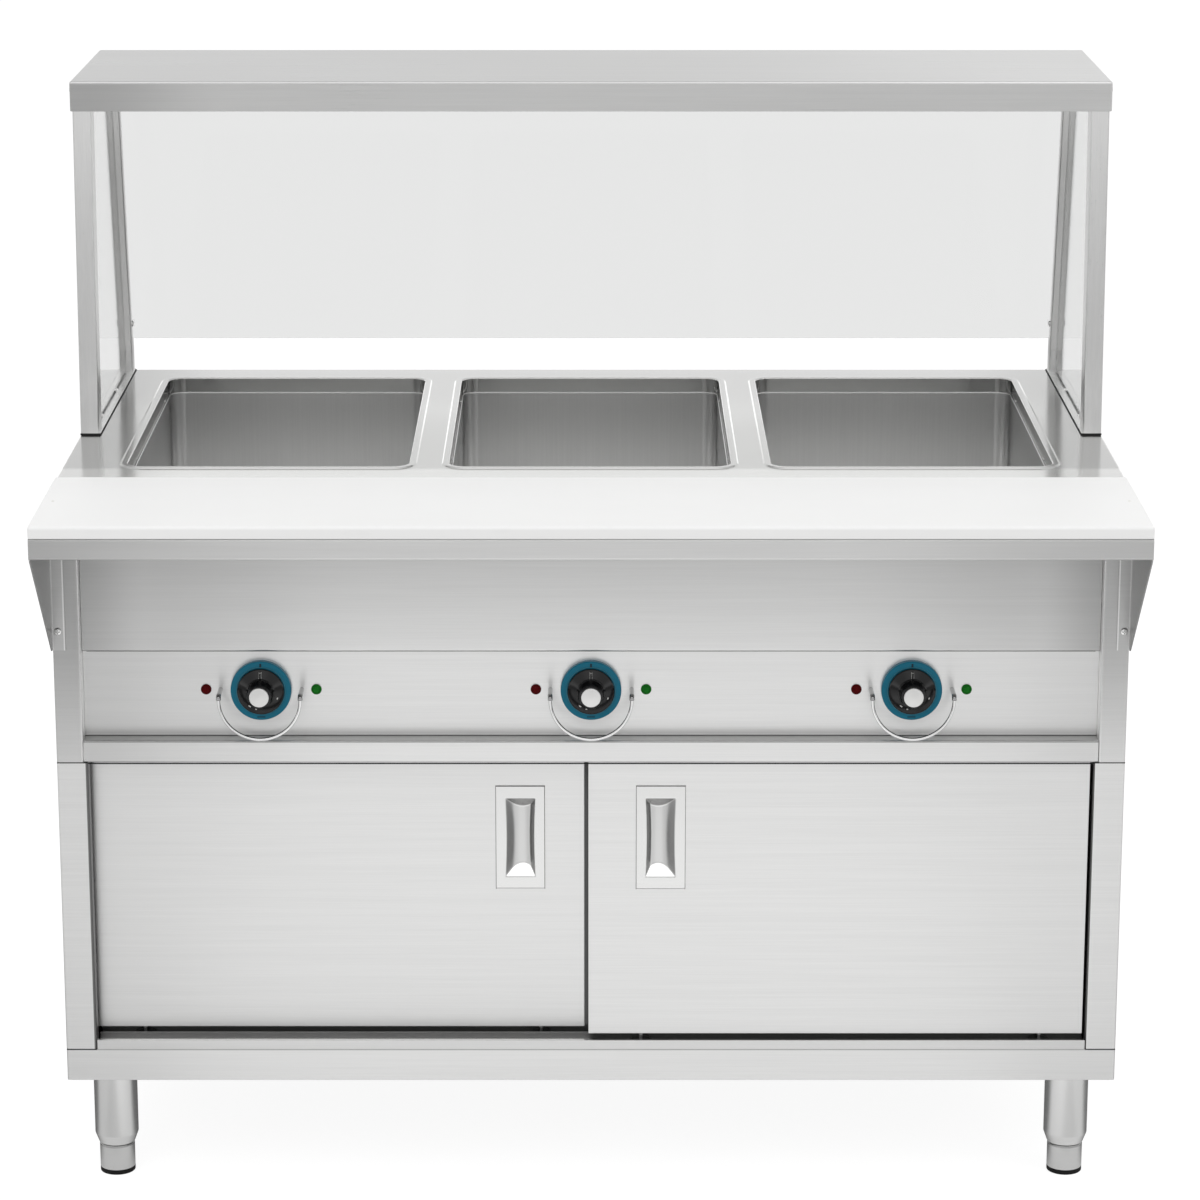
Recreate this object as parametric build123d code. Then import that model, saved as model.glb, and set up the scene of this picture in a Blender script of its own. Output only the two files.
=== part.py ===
from build123d import *
from cmath import phase
import os

# An electric steam table: a cabinet on four legs with two sliding doors, a control panel with three
# thermostats, three heated wells in a counter, a front work shelf with a cutting board, and an overshelf
# with glass. Sizes are millimetres. While a piece is drawn, X is to the right, Y runs back from the
# front plane of the cabinet and Z rises from the floor; save() then moves it so that the origin is the
# centre of the whole footprint.

# Sheet metal
sheet = 1.2
base_sheet = 1.5
bend_radius = 1.6
fit_gap = 0.3
contact_gap = 0.2

# Heights, from the floor up
leg_height = 131.0
base_rail_height = 38.0
cabinet_height = 347.0
front_rail_height = 26.5
control_panel_height = 101.0
fascia_height = 173.5
counter_step = 11.0
overshelf_rise = 420.0

# Widths and depths
counter_end_overhang = 1.5
counter_rear_overhang = 5.0
overshelf_end_overhang = 2.0
shelf_reach = 158.0
shelf_flange = 24.0
counter_front = 81.0
counter_flange = 28.0

# Cabinet front
lower_stile_width = 35.5
upper_stile_width = 31.0
stile_return = 18.0
rear_return = 20.0
panel_recess = 20.0
fascia_recess = 14.0
fascia_overlap = 25.0
rail_return = 6.0
base_lip = 12.0

# Cutting board
board_thickness = 14.0
board_overhang = 1.0
board_edge_radius = 4.0

# Wells
well_length = 508.0
well_width = 325.0
well_gap = 47.0
well_end_room = 75.0
well_rear_room = 55.0
well_depth = 200.0
well_row_centre = -1.0
well_front = 143.0
well_corner = 20.0
well_collar = 33.0
well_liner_drop = 17.0
well_base_corner = 15.0
rim_width = 10.0
rim_height = 1.5

# Heating
element_radius = 4.0
element_pitch = 60.0
element_runs = 4
element_end_room = 60.0
tray_side_inset = 17.5
tray_end_inset = 19.0
tray_depth = 40.0
shield_distance = 118.0

# Controls
left_knob_offset = -2.0
middle_knob_offset = 1.0
right_knob_offset = -6.5
knob_drop = 46.0
lamp_spacing = 62.7
lamp_radius = 6.0
lamp_stand = 3.0
lamp_body_radius = 4.5
lamp_body_length = 26.0
bezel_radius = 34.5
bezel_thickness = 8.0
knob_skirt_radius = 26.6
knob_skirt_thickness = 2.6
knob_gap = 0.5
knob_stand = 34.5
knob_boss_radius = 15.0
knob_top_radius = 13.6
knob_cap_radius = 11.1
knob_cap_height = 2.0
pointer_width = 2.2
pointer_height = 1.0
spindle_radius = 3.0
spindle_gap = 0.05
thermostat_size = 38.0
thermostat_depth = 30.0
spindle_reach = 18.0
guard_wire_radius = 1.9
guard_half_width = 46.2
guard_reach = 31.0
guard_bend = 3.9
guard_straight = 0.3
guard_tail = 4.0

# Doors
door_thickness = 18.0
door_sheet = 1.0
front_door_face = 8.0
rear_door_face = 32.0
left_door_tuck = 2.0
left_door_inner_edge = -7.5
right_door_room = 3.0
right_door_inner_edge = -3.0
door_bottom_gap = 5.5
door_top_rise = 1.0
hanger_inner = 58.0
hanger_end_room = 51.9
sill_height = 11.0
sill_floor = 1.5
sill_rib = 1.6
pin_radius = 2.6
puck_height = 5.0
puck_lift = 1.0

# Flush cup handles
handle_width = 57.0
handle_height = 124.0
handle_proud = 1.5
handle_bevel = 1.0
left_handle_height = 417.0
right_handle_height = 424.5
left_handle_setback = 73.9
right_handle_setback = 82.9
cup_width = 33.6
cup_height = 94.4
cup_depth = 14.0
cup_wall = 1.0
cup_end_slope = 12.8
cup_long_slope = 10.8
cup_short_slope = 5.8

# Top track, hangers and rollers
track_sheet = 1.5
track_lip_rise = 3.0
track_gap = 4.5
track_web_offset = 9.0
roller_radius = 7.0
roller_groove_depth = 1.5
roller_groove_width = 2.4
roller_width = 6.0
axle_radius = 2.0
axle_gap = 0.05
hanger_length = 30.0
hanger_sheet = 2.0

# Legs and feet
leg_side_setback = 49.4
front_leg_place = 50.0
rear_leg_setback = 51.0
leg_radius = 25.4
leg_wall = 1.5
leg_plate = 80.0
leg_plate_thickness = 4.0
leg_taper_height = 12.0
leg_nose_radius = 21.0
insert_height = 30.0
stud_radius = 6.0
stud_gap = 0.08
stud_length = 55.0
foot_radius = 20.5
foot_top = 36.7
cap_height = 5.6
cap_wall = 1.5
cap_floor = 3.0

# Overshelf and its frames
overshelf_front = 332.0
overshelf_rear_setback = 75.0
overshelf_flange = 35.0
overshelf_front_lip = 12.0
overshelf_rear_lip = 7.0
post_width = 22.0
post_wall = 1.5
post_side_inset = 0.5
front_post_foot = 316.0
front_post_lean = 20.0
front_post_depth = 30.0
rear_post_setback = 21.0
rear_post_depth = 20.0
rear_post_knee = 28.0
rear_post_lean = 84.0
strip_front = 316.0
strip_rear_room = 2.0
strip_width = 24.0
strip_thickness = 2.0
side_glass_thickness = 5.0
rear_glass_thickness = 6.0
rear_glass_lift = 42.0

# Work shelf brackets
bracket_sheet = 1.5
bracket_drop = 168.0
bracket_foot = 4.0
bracket_flange = 15.0

# Screws
screw_head_radius = 4.6
screw_head_height = 2.4
screw_shank_radius = 2.0
screw_shank_length = 7.0
screw_hole_gap = 0.1
bracket_screw_rise = 22.0
overshelf_screw_setback = 20.0
strip_screw_first = 104.0
strip_screw_pitch = 153.0
glass_screw_rise = 62.0

# Electrics
block_length = 60.0
block_width = 24.0
block_height = 22.0
block_end_room = 108.0
block_setback = 62.0
gland_end_room = 93.0
gland_rise = 36.0
gland_bore = 5.0
gland_radius = 9.0
gland_nut_radius = 13.0
gland_nut_height = 6.0
gland_inner_length = 12.0
gland_outer_length = 16.0
loom_radius = 3.5
loom_branch_radius = 2.5
loom_bend = 12.0
loom_offset = 16.0
grommet_radius = 7.0

# Levels that follow from the heights
base_top = leg_height + base_rail_height
seam_level = base_top + cabinet_height
ledge_level = seam_level + front_rail_height
fascia_level = ledge_level + control_panel_height
shelf_level = fascia_level + fascia_height
counter_level = shelf_level + counter_step
top_level = counter_level + overshelf_rise
sill_level = base_top + sill_height
door_bottom = sill_level + door_bottom_gap
door_top = seam_level + door_top_rise
knob_level = fascia_level - knob_drop
body_floor_level = ledge_level
post_foot_level = counter_level + strip_thickness
overshelf_underside = top_level - sheet

# Places that follow from the widths and depths
half_counter = well_width * 1.5 + well_gap + well_end_room
half_body = half_counter - counter_end_overhang
half_overshelf = half_counter + overshelf_end_overhang
body_depth = well_front + well_length + well_rear_room
counter_rear = body_depth + counter_rear_overhang
body_inner = half_body - sheet
upper_return = panel_recess + sheet
panel_half_width = half_body - upper_stile_width - contact_gap
back_panel_rear = body_depth - sheet
shelf_rear = counter_front + 15.0
well_centre_y = well_front + well_length / 2
well_pitch = well_width + well_gap
well_centres = [well_row_centre + step * well_pitch for step in (-1, 0, 1)]
well_bottom = counter_level - well_depth
well_underside = well_bottom - sheet
knob_offsets = [left_knob_offset, middle_knob_offset, right_knob_offset]
knob_centres = [centre + offset for centre, offset in zip(well_centres, knob_offsets)]
door_mouth = half_body - lower_stile_width
left_door_edge = -door_mouth - left_door_tuck
right_door_edge = door_mouth - right_door_room
left_handle_centre = (left_door_inner_edge - left_handle_setback, left_handle_height)
right_handle_centre = (right_door_inner_edge + right_handle_setback, right_handle_height)
hanger_outer = door_mouth - hanger_end_room
leg_place_x = half_body - leg_side_setback
rear_leg_place = body_depth - rear_leg_setback
post_outer = half_counter - post_side_inset
overshelf_depth = counter_rear - overshelf_rear_setback - overshelf_front
rear_post_foot = counter_rear - rear_post_setback
strip_depth = counter_rear - strip_rear_room - strip_front
block_place = half_body - block_end_room
gland_place = half_body - gland_end_room
tray_width = well_width - 2 * tray_side_inset
tray_length = well_length - 2 * tray_end_inset
front_door_mid = front_door_face + door_thickness / 2
rear_door_mid = rear_door_face + door_thickness / 2
hanger_places = {"left": (-hanger_outer, -hanger_inner), "right": (hanger_inner, hanger_outer)}
track_floor = door_top + track_gap
track_lip_top = track_floor + track_sheet + track_lip_rise
track_top = ledge_level - sheet
roller_level = track_lip_top + roller_radius - roller_groove_depth + fit_gap
footprint_front = shelf_reach + board_overhang
footprint_rear = back_panel_rear + gland_outer_length
origin_shift = (footprint_front - footprint_rear) / 2

os.makedirs("parts", exist_ok=True)


def save(name, *solids):
    """Writes one piece, or a group of like pieces, in the frame whose origin is the footprint's centre."""
    moved = [Pos(0, origin_shift, 0) * solid for solid in solids]
    shape = moved[0] if len(moved) == 1 else Compound(children=moved)
    shape.label = name
    export_step(shape, f"parts/{name}.step")


def block(x0, x1, y0, y1, z0, z1):
    """A box between six planes."""
    centre = Pos((x0 + x1) / 2, (y0 + y1) / 2, (z0 + z1) / 2)
    return centre * Box(abs(x1 - x0), abs(y1 - y0), abs(z1 - z0))


def rounded_block(x0, x1, y0, y1, z0, z1, radius):
    """A box whose four upright edges are rounded."""
    outline = RectangleRounded(x1 - x0, y1 - y0, radius)
    return extrude(Pos((x0 + x1) / 2, (y0 + y1) / 2, z0) * outline, amount=z1 - z0)


def side_profile(points, x0, x1):
    """A flat outline of (y, z) points, carried from x0 to x1."""
    face = make_face(Polyline([(x0, y, z) for y, z in points], close=True))
    return extrude(face, amount=x1 - x0, dir=(1, 0, 0))


def rod(start, direction, radius, length):
    """A round bar from a point along a direction."""
    return extrude(Plane(origin=start, z_dir=direction) * Circle(radius), amount=length)


def strip(points, thickness, bend):
    """The section of a sheet that follows the points, its thickness on their left, with round bends."""
    line = [complex(*point) for point in points]
    heads = [(after - before) / abs(after - before) for before, after in zip(line, line[1:])]
    far = [line[0] + 1j * heads[0] * thickness]
    near_radii = []
    far_radii = []
    for corner, before, after in zip(line[1:], heads, heads[1:]):
        overlap = 1 + (before.conjugate() * after).real
        far.append(corner + 1j * thickness * (before + after) / overlap)
        left_turn = phase(after / before) > 0
        near_radii.append(bend + thickness if left_turn else bend)
        far_radii.append(bend if left_turn else bend + thickness)
    far.append(line[-1] + 1j * heads[-1] * thickness)
    outline = [(point.real, point.imag) for point in line + far[::-1]]
    radii = [0, *near_radii, 0, 0, *far_radii[::-1], 0]
    return make_face(FilletPolyline(*outline, radius=radii, close=True))


def bent_along_x(points, thickness, x0, x1, bend=bend_radius):
    """A sheet whose section follows (y, z) points, carried from x0 to x1."""
    section = Plane(origin=(x0, 0, 0), x_dir=(0, 1, 0), z_dir=(1, 0, 0))
    return extrude(section * strip(points, thickness, bend), amount=x1 - x0)


def bent_along_z(points, thickness, z0, z1, bend=bend_radius):
    """A sheet whose plan follows (x, y) points, carried from z0 to z1."""
    return extrude(Pos(0, 0, z0) * strip(points, thickness, bend), amount=z1 - z0)


def mirrored(shape):
    """The same shape on the other side of the table."""
    return mirror(shape, about=Plane.YZ)


def pan_head(seat, direction):
    """A pan-head screw: a domed head on its seat and a shank behind it."""
    head = rod(seat, direction, screw_head_radius, screw_head_height)
    rim = head.edges().filter_by(GeomType.CIRCLE).sort_by(Axis(seat, direction))[-1]
    head = fillet(rim, screw_head_height * 0.6)
    back = tuple(-part for part in direction)
    return head + rod(seat, back, screw_shank_radius, screw_shank_length)


def screw_hole(seat, direction):
    """The clearance hole for a screw, a little longer than its shank."""
    back = tuple(-part for part in direction)
    start = tuple(place + 1.0 * part for place, part in zip(seat, direction))
    length = screw_shank_length + 1.0 + fit_gap
    return rod(start, back, screw_shank_radius + screw_hole_gap, length)


def frame_lean(level):
    """How far behind its foot the front face of a front post is at a level."""
    return front_post_lean * (level - post_foot_level) / (overshelf_underside - post_foot_level)


def rear_face(level):
    """Where the front face of a rear post is at a level: upright below the knee, leaning forward above."""
    knee_level = post_foot_level + rear_post_knee
    rise = max(0.0, level - knee_level)
    return rear_post_foot - rear_post_lean * rise / (overshelf_underside - knee_level)


def screw_places():
    """Every screw as its seat and the direction that its head faces."""
    post_middle = post_outer - post_width / 2
    overshelf_screw_level = top_level - overshelf_flange / 3
    glass_screw_level = post_foot_level + glass_screw_rise
    right = {
        "bracket": [
            ((half_counter - bracket_sheet - bracket_flange / 2 + 1.0, -bracket_sheet,
              shelf_level - bracket_drop + bracket_screw_rise), (0, -1, 0)),
        ],
        "overshelf": [
            ((half_overshelf, overshelf_front + overshelf_screw_setback, overshelf_screw_level), (1, 0, 0)),
            ((half_overshelf, overshelf_front + overshelf_depth - overshelf_screw_setback,
              overshelf_screw_level), (1, 0, 0)),
        ],
        "strip": [
            ((post_middle, strip_front + strip_screw_first + step * strip_screw_pitch, post_foot_level),
             (0, 0, 1))
            for step in (0, 1)
        ],
        "glass": [
            ((post_outer - post_width, rear_face(glass_screw_level) + rear_post_depth / 2,
              glass_screw_level), (-1, 0, 0)),
        ],
    }
    return right


screws = screw_places()


def both_sides(seat, direction):
    """A screw place and its mirror image."""
    x, y, z = seat
    across, along, up = direction
    return [(seat, direction), ((-x, y, z), (-across, along, up))]


def with_holes(shape, kind):
    """The shape with the clearance holes of one kind of screw, on both sides."""
    for seat, direction in screws[kind]:
        for place in both_sides(seat, direction):
            shape -= screw_hole(*place)
    return shape


# Base and lower cabinet


def base_pan():
    """The deck of the cabinet with a rail turned down all round and a narrow lip turned in below."""
    outer = rounded_block(-half_body, half_body, 0, body_depth, leg_height, base_top, 3.0)
    inner = rounded_block(-half_body + base_sheet, half_body - base_sheet, base_sheet,
                          body_depth - base_sheet, leg_height + base_sheet, base_top - base_sheet, 1.5)
    mouth = rounded_block(-half_body + base_lip, half_body - base_lip, base_lip, body_depth - base_lip,
                          leg_height - base_sheet, leg_height + base_sheet * 2, 1.5)
    return outer - inner - mouth


def lower_side():
    """The right side skin of the cabinet, with its front stile and its rear return."""
    plan = [
        (half_body - lower_stile_width, stile_return),
        (half_body - lower_stile_width, 0),
        (half_body, 0),
        (half_body, body_depth),
        (half_body - rear_return, body_depth),
    ]
    return bent_along_z(plan, sheet, base_top, seam_level)


def back_panel(level, height):
    """A flat back, seated on the rear returns of the side skins."""
    reach = body_inner - bend_radius
    return block(-reach, reach, back_panel_rear - sheet, back_panel_rear, level, level + height)


def door_sill():
    """The lower guide: a nose at the front and two channels, one for the pins of each door."""
    pitch = rear_door_mid - front_door_mid
    channel = pitch - sill_rib
    nose = front_door_mid - channel / 2
    first_rib = front_door_mid + channel / 2
    second_rib = rear_door_mid + channel / 2
    floor = base_top + sill_floor
    outline = [
        (0, base_top),
        (second_rib + sill_rib, base_top),
        (second_rib + sill_rib, sill_level),
        (second_rib, sill_level),
        (second_rib, floor),
        (first_rib + sill_rib, floor),
        (first_rib + sill_rib, sill_level),
        (first_rib, sill_level),
        (first_rib, floor),
        (nose, floor),
        (nose, sill_level),
        (0, sill_level),
    ]
    reach = half_body - lower_stile_width - fit_gap
    return side_profile(outline, -reach, reach)


def track_hook(middle, x0, x1):
    """One rail of the top track: a web behind the door's middle, a floor below and a lip that turns up."""
    web = middle + track_web_offset
    lip = middle - track_sheet / 2
    outline = [
        (lip, track_floor),
        (web + track_sheet, track_floor),
        (web + track_sheet, track_top),
        (web, track_top),
        (web, track_floor + track_sheet),
        (lip + track_sheet, track_floor + track_sheet),
        (lip + track_sheet, track_lip_top),
        (lip, track_lip_top),
    ]
    return side_profile(outline, x0, x1)


def door_track():
    """The top track: two hooked rails under one cap, fixed below the floor of the body."""
    reach = panel_half_width - fit_gap
    front_web = front_door_mid + track_web_offset
    rear_web = rear_door_mid + track_web_offset + track_sheet
    cap = block(-reach, reach, front_web, rear_web, track_top - track_sheet, track_top)
    return cap + track_hook(front_door_mid, -reach, reach) + track_hook(rear_door_mid, -reach, reach)


# Doors


def door(x0, x1, face, handle_centre):
    """A door: an outer skin folded back on four sides, and a liner inside its rear edges."""
    rear = face + door_thickness
    skin = block(x0, x1, face, rear, door_bottom, door_top)
    skin -= block(x0 + door_sheet, x1 - door_sheet, face + door_sheet, rear + 1.0,
                  door_bottom + door_sheet, door_top - door_sheet)
    half_width = cup_width / 2 + cup_wall + contact_gap
    half_height = cup_height / 2 + cup_wall + contact_gap
    middle, level = handle_centre
    skin -= block(middle - half_width, middle + half_width, face - 1.0, face + door_sheet * 2,
                  level - half_height, level + half_height)
    liner = block(x0 + door_sheet, x1 - door_sheet, rear - door_sheet, rear,
                  door_bottom + door_sheet, door_top - door_sheet)
    return skin, liner


def cup(centre, face, pull_side, grow, depth):
    """The hollow of a handle as a tapered plug, grown outward by one wall for its outside."""
    back_shift = (cup_long_slope - cup_short_slope) / 2 * pull_side
    middle, level = centre
    mouth = Plane(origin=(middle, face, level), x_dir=(1, 0, 0), z_dir=(0, 1, 0))
    back = Plane(origin=(middle + back_shift, face + depth, level), x_dir=(1, 0, 0), z_dir=(0, 1, 0))
    back_width = cup_width - cup_long_slope - cup_short_slope
    back_height = cup_height - 2 * cup_end_slope
    opening = mouth * Rectangle(cup_width + 2 * grow, cup_height + 2 * grow)
    floor = back * Rectangle(back_width + 2 * grow, back_height + 2 * grow)
    return loft([opening, floor])


def door_handle(centre, face, pull_side):
    """A flush cup handle: a bevelled plate proud of the door and a tapered cup behind it."""
    front = face - handle_proud
    middle, level = centre
    plate = block(middle - handle_width / 2, middle + handle_width / 2, front, face,
                  level - handle_height / 2, level + handle_height / 2)
    plate = chamfer(plate.faces().sort_by(Axis.Y)[0].edges(), handle_bevel)
    body = plate + cup(centre, face, pull_side, cup_wall, cup_depth + cup_wall - handle_proud)
    hollow = cup(centre, front, pull_side, 0.0, cup_depth)
    return body - hollow


def hanger(x, middle):
    """A hanger on the door's top edge, with the axle that carries a roller on the track's lip."""
    plate_front = middle - roller_width / 2 - fit_gap - hanger_sheet
    x0 = x - hanger_length / 2
    x1 = x + hanger_length / 2
    foot = block(x0, x1, plate_front, middle + door_thickness / 2 - door_sheet * 2, door_top,
                 door_top + hanger_sheet)
    upright = block(x0, x1, plate_front, plate_front + hanger_sheet, door_top, roller_level + axle_radius * 2)
    axle = rod((x, plate_front, roller_level), (0, 1, 0), axle_radius,
               hanger_sheet + roller_width + fit_gap * 2)
    head = rod((x, middle + roller_width / 2 + fit_gap, roller_level), (0, 1, 0), axle_radius * 1.5, 1.2)
    return foot + upright + axle + head


def guide_pin(x, middle):
    """A pin under the door with a round shoe that runs between the walls of the sill's channel."""
    channel = rear_door_mid - front_door_mid - sill_rib
    shoe_bottom = base_top + sill_floor + puck_lift
    shoe = rod((x, middle, shoe_bottom), (0, 0, 1), channel / 2 - fit_gap, puck_height)
    pin = rod((x, middle, shoe_bottom), (0, 0, 1), pin_radius, door_bottom - shoe_bottom)
    return shoe + pin


def door_gear(side, middle):
    """The two hangers and the two guide pins of one door."""
    places = hanger_places[side]
    return [hanger(x, middle) for x in places] + [guide_pin(x, middle) for x in places]


def roller(x, middle):
    """A grooved roller that straddles the lip of the track."""
    front = middle - roller_width / 2
    wheel = rod((x, front, roller_level), (0, 1, 0), roller_radius, roller_width)
    bore = rod((x, front - 1.0, roller_level), (0, 1, 0), axle_radius + axle_gap, roller_width + 2.0)
    groove_front = middle - roller_groove_width / 2
    groove = rod((x, groove_front, roller_level), (0, 1, 0), roller_radius + 1.0, roller_groove_width)
    core = rod((x, groove_front, roller_level), (0, 1, 0), roller_radius - roller_groove_depth,
               roller_groove_width)
    return wheel - (groove - core) - bore


# Legs and feet


def leg(x, y):
    """A leg tube with its mounting plate on top and a threaded insert in its tapered end."""
    plate_bottom = base_top - base_sheet - leg_plate_thickness
    half_plate = leg_plate / 2
    plate = block(x - half_plate, x + half_plate, y - half_plate, y + half_plate, plate_bottom,
                  base_top - base_sheet)
    nose = foot_top + fit_gap
    shoulder = nose + leg_taper_height
    bore = stud_radius + stud_gap
    section = Polyline(
        (bore, nose),
        (leg_nose_radius, nose),
        (leg_radius, shoulder),
        (leg_radius, plate_bottom),
        (leg_radius - leg_wall, plate_bottom),
        (leg_radius - leg_wall, nose + insert_height),
        (bore, nose + insert_height),
        close=True,
    )
    tube = revolve(Plane.XZ * make_face(section), axis=Axis.Z)
    return plate + Pos(x, y, 0) * tube


def foot(x, y):
    """A bullet foot with its threaded stud, reaching down into the rubber cap."""
    seat = cap_floor
    neck = foot_radius - cap_wall
    section = Polyline(
        (0, seat),
        (neck, seat),
        (neck, cap_height),
        (foot_radius, cap_height),
        (foot_radius, foot_top - 2.0),
        (foot_radius - 2.0, foot_top),
        (stud_radius, foot_top),
        (stud_radius, foot_top + stud_length),
        (0, foot_top + stud_length),
        close=True,
    )
    return Pos(x, y, 0) * revolve(Plane.XZ * make_face(section), axis=Axis.Z)


def foot_cap(x, y):
    """The rubber cap that the foot stands in."""
    outer = extrude(Circle(foot_radius), amount=cap_height)
    outer = chamfer(outer.edges().sort_by(Axis.Z)[0], 1.6)
    hollow = extrude(Pos(0, 0, cap_floor) * Circle(foot_radius - cap_wall), amount=cap_height)
    return Pos(x, y, 0) * (outer - hollow)


# Upper body


def upper_side():
    """The right side skin of the body; its top steps down at the front, where the work shelf lies."""
    plan = [
        (half_body - upper_stile_width, upper_return),
        (half_body - upper_stile_width, 0),
        (half_body, 0),
        (half_body, body_depth),
        (half_body - rear_return, body_depth),
    ]
    skin = bent_along_z(plan, sheet, seam_level, counter_level - sheet)
    step = block(half_body / 2, half_body * 2, -1.0, shelf_rear, shelf_level - sheet, counter_level)
    return with_holes(skin - step, "bracket")


def control_panel():
    """One bent sheet: the front rail, the ledge above it and the panel with the controls behind."""
    section = [
        (panel_recess, fascia_level + fascia_overlap),
        (panel_recess, ledge_level),
        (0, ledge_level),
        (0, seam_level),
        (rail_return, seam_level),
    ]
    panel = bent_along_x(section, sheet, -panel_half_width, panel_half_width)
    for x in knob_centres:
        panel -= panel_hole(x, spindle_radius + spindle_gap)
        for side in (-1, 1):
            panel -= panel_hole(x + side * lamp_spacing, lamp_body_radius + spindle_gap)
            panel -= panel_hole(x + side * guard_half_width, guard_wire_radius + spindle_gap)
    return panel


def panel_hole(x, radius):
    """A round hole through the control panel at the height of the knobs."""
    return rod((x, panel_recess - 1.0, knob_level), (0, 1, 0), radius, sheet + 2.0)


def fascia():
    """The panel above the controls, a little forward of them, with a hem that meets the control panel."""
    section = [
        (fascia_recess, shelf_level - sheet),
        (fascia_recess, fascia_level),
        (panel_recess, fascia_level),
    ]
    return bent_along_x(section, sheet, -panel_half_width, panel_half_width)


def body_floor():
    """The floor of the body, which closes the cabinet above the doors and carries the controls' wiring."""
    return block(-body_inner, body_inner, upper_return, back_panel_rear - sheet,
                 body_floor_level - sheet, body_floor_level)


def heat_shield():
    """The wall between the wells and the controls, with holes for the elements' ends and the supply."""
    foot_depth = 15.0
    section = [
        (shield_distance - foot_depth, body_floor_level),
        (shield_distance, body_floor_level),
        (shield_distance, shelf_level - sheet * 2),
    ]
    wall = bent_along_x(section, sheet, -panel_half_width, panel_half_width)
    for centre in well_centres:
        for x in element_ends(centre):
            wall -= rod((x, shield_distance - foot_depth, element_level()), (0, 1, 0),
                        element_radius + contact_gap, foot_depth * 2)
    wall -= rod((gland_place, shield_distance - foot_depth, gland_level()), (0, 1, 0), grommet_radius,
                foot_depth * 2)
    return wall


# Counter and wells


def well_outline(centre, grow):
    """The plan of a well opening, grown outward."""
    corner = well_corner + grow
    return Pos(centre, well_centre_y, 0) * RectangleRounded(well_width + 2 * grow, well_length + 2 * grow,
                                                            corner)


def counter_top():
    """The counter: a sheet with edges turned down, three openings with raised rims and drawn collars."""
    top = block(-half_counter, half_counter, shelf_rear, counter_rear, counter_level - counter_flange,
                counter_level)
    top -= block(-half_counter + sheet, half_counter - sheet, shelf_rear - 1.0, counter_rear - sheet,
                 counter_level - counter_flange - 1.0, counter_level - sheet)
    top += block(-half_counter, half_counter, counter_front, shelf_rear, counter_level - sheet,
                 counter_level)
    top += block(-half_counter, half_counter, counter_front, counter_front + sheet, shelf_level,
                 counter_level)
    for centre in well_centres:
        rim = extrude(Pos(0, 0, counter_level - sheet) * well_outline(centre, rim_width),
                      amount=rim_height + sheet)
        rim_edges = rim.faces().sort_by(Axis.Z)[-1].edges()
        rim = fillet(rim_edges, rim_height * 0.6)
        collar = extrude(Pos(0, 0, counter_level - well_collar) * well_outline(centre, sheet),
                         amount=well_collar)
        mouth = extrude(Pos(0, 0, counter_level - well_collar - 1.0) * well_outline(centre, 0.0),
                        amount=well_collar + rim_height + 2.0)
        top = top + rim + collar - mouth
    return with_holes(top, "strip")


def well(centre):
    """A drawn pan that hangs in the counter's collar, its upper edge a little below the counter."""
    height = well_depth - well_liner_drop
    outer = extrude(Pos(0, 0, well_underside) * well_outline(centre, -contact_gap), amount=height + sheet)
    outer = fillet(outer.faces().sort_by(Axis.Z)[0].edges(), well_base_corner)
    wall = contact_gap + sheet
    inner = extrude(Pos(0, 0, well_bottom) * well_outline(centre, -wall), amount=height + 1.0)
    inner = fillet(inner.faces().sort_by(Axis.Z)[0].edges(), well_base_corner - sheet)
    return outer - inner


def element_level():
    """The height of a heating element's middle, just below the well."""
    return well_underside - element_radius - contact_gap


def element_ends(centre):
    """Where the two ends of a heating element are, across the table."""
    reach = element_pitch * (element_runs - 1) / 2
    return centre - reach, centre + reach


def heating_element(centre):
    """A tubular element bent back and forth under the well, both ends at the front."""
    level = element_level()
    bend = element_pitch / 2
    rear = well_front + well_length - element_end_room - bend
    front = well_front + element_end_room + bend
    start = shield_distance - 20.0
    first = element_ends(centre)[0]
    places = [first + element_pitch * step for step in range(element_runs)]
    edges = [Line((first, start, level), (first, rear, level))]
    for number, (here, there) in enumerate(zip(places, places[1:])):
        turn = rear if number % 2 == 0 else front
        tip = turn + bend if number % 2 == 0 else turn - bend
        edges.append(ThreePointArc((here, turn, level), ((here + there) / 2, tip, level),
                                   (there, turn, level)))
        end = start if there == places[-1] else (front if number % 2 == 0 else rear)
        edges.append(Line((there, turn, level), (there, end, level)))
    path = Wire([edge.edge() for edge in edges])
    return sweep(Plane(origin=(first, start, level), z_dir=(0, 1, 0)) * Circle(element_radius), path=path)


def insulation_tray(centre):
    """The tray below the element that holds the insulation, its rim against the well."""
    half_width = tray_width / 2
    y0 = well_centre_y - tray_length / 2
    y1 = well_centre_y + tray_length / 2
    tray = block(centre - half_width, centre + half_width, y0, y1, well_underside - tray_depth,
                 well_underside)
    tray -= block(centre - half_width + sheet, centre + half_width - sheet, y0 + sheet, y1 - sheet,
                  well_underside - tray_depth + sheet, well_underside + 1.0)
    room = element_radius + contact_gap
    for x in element_ends(centre):
        tray -= rod((x, y0 - 1.0, element_level()), (0, 1, 0), room, sheet + 2.0)
        tray -= block(x - room, x + room, y0 - 1.0, y0 + sheet + 1.0, element_level(), well_underside + 1.0)
    return tray


# Controls


def turned(x, section):
    """A turned shape on a control's axis; section points are (radius, distance in front of the panel)."""
    face = make_face(Polyline([(radius, 0, stand) for radius, stand in section], close=True))
    upright = revolve(face, axis=Axis.Z)
    return Pos(x, panel_recess, knob_level) * Rot(90, 0, 0) * upright


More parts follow.
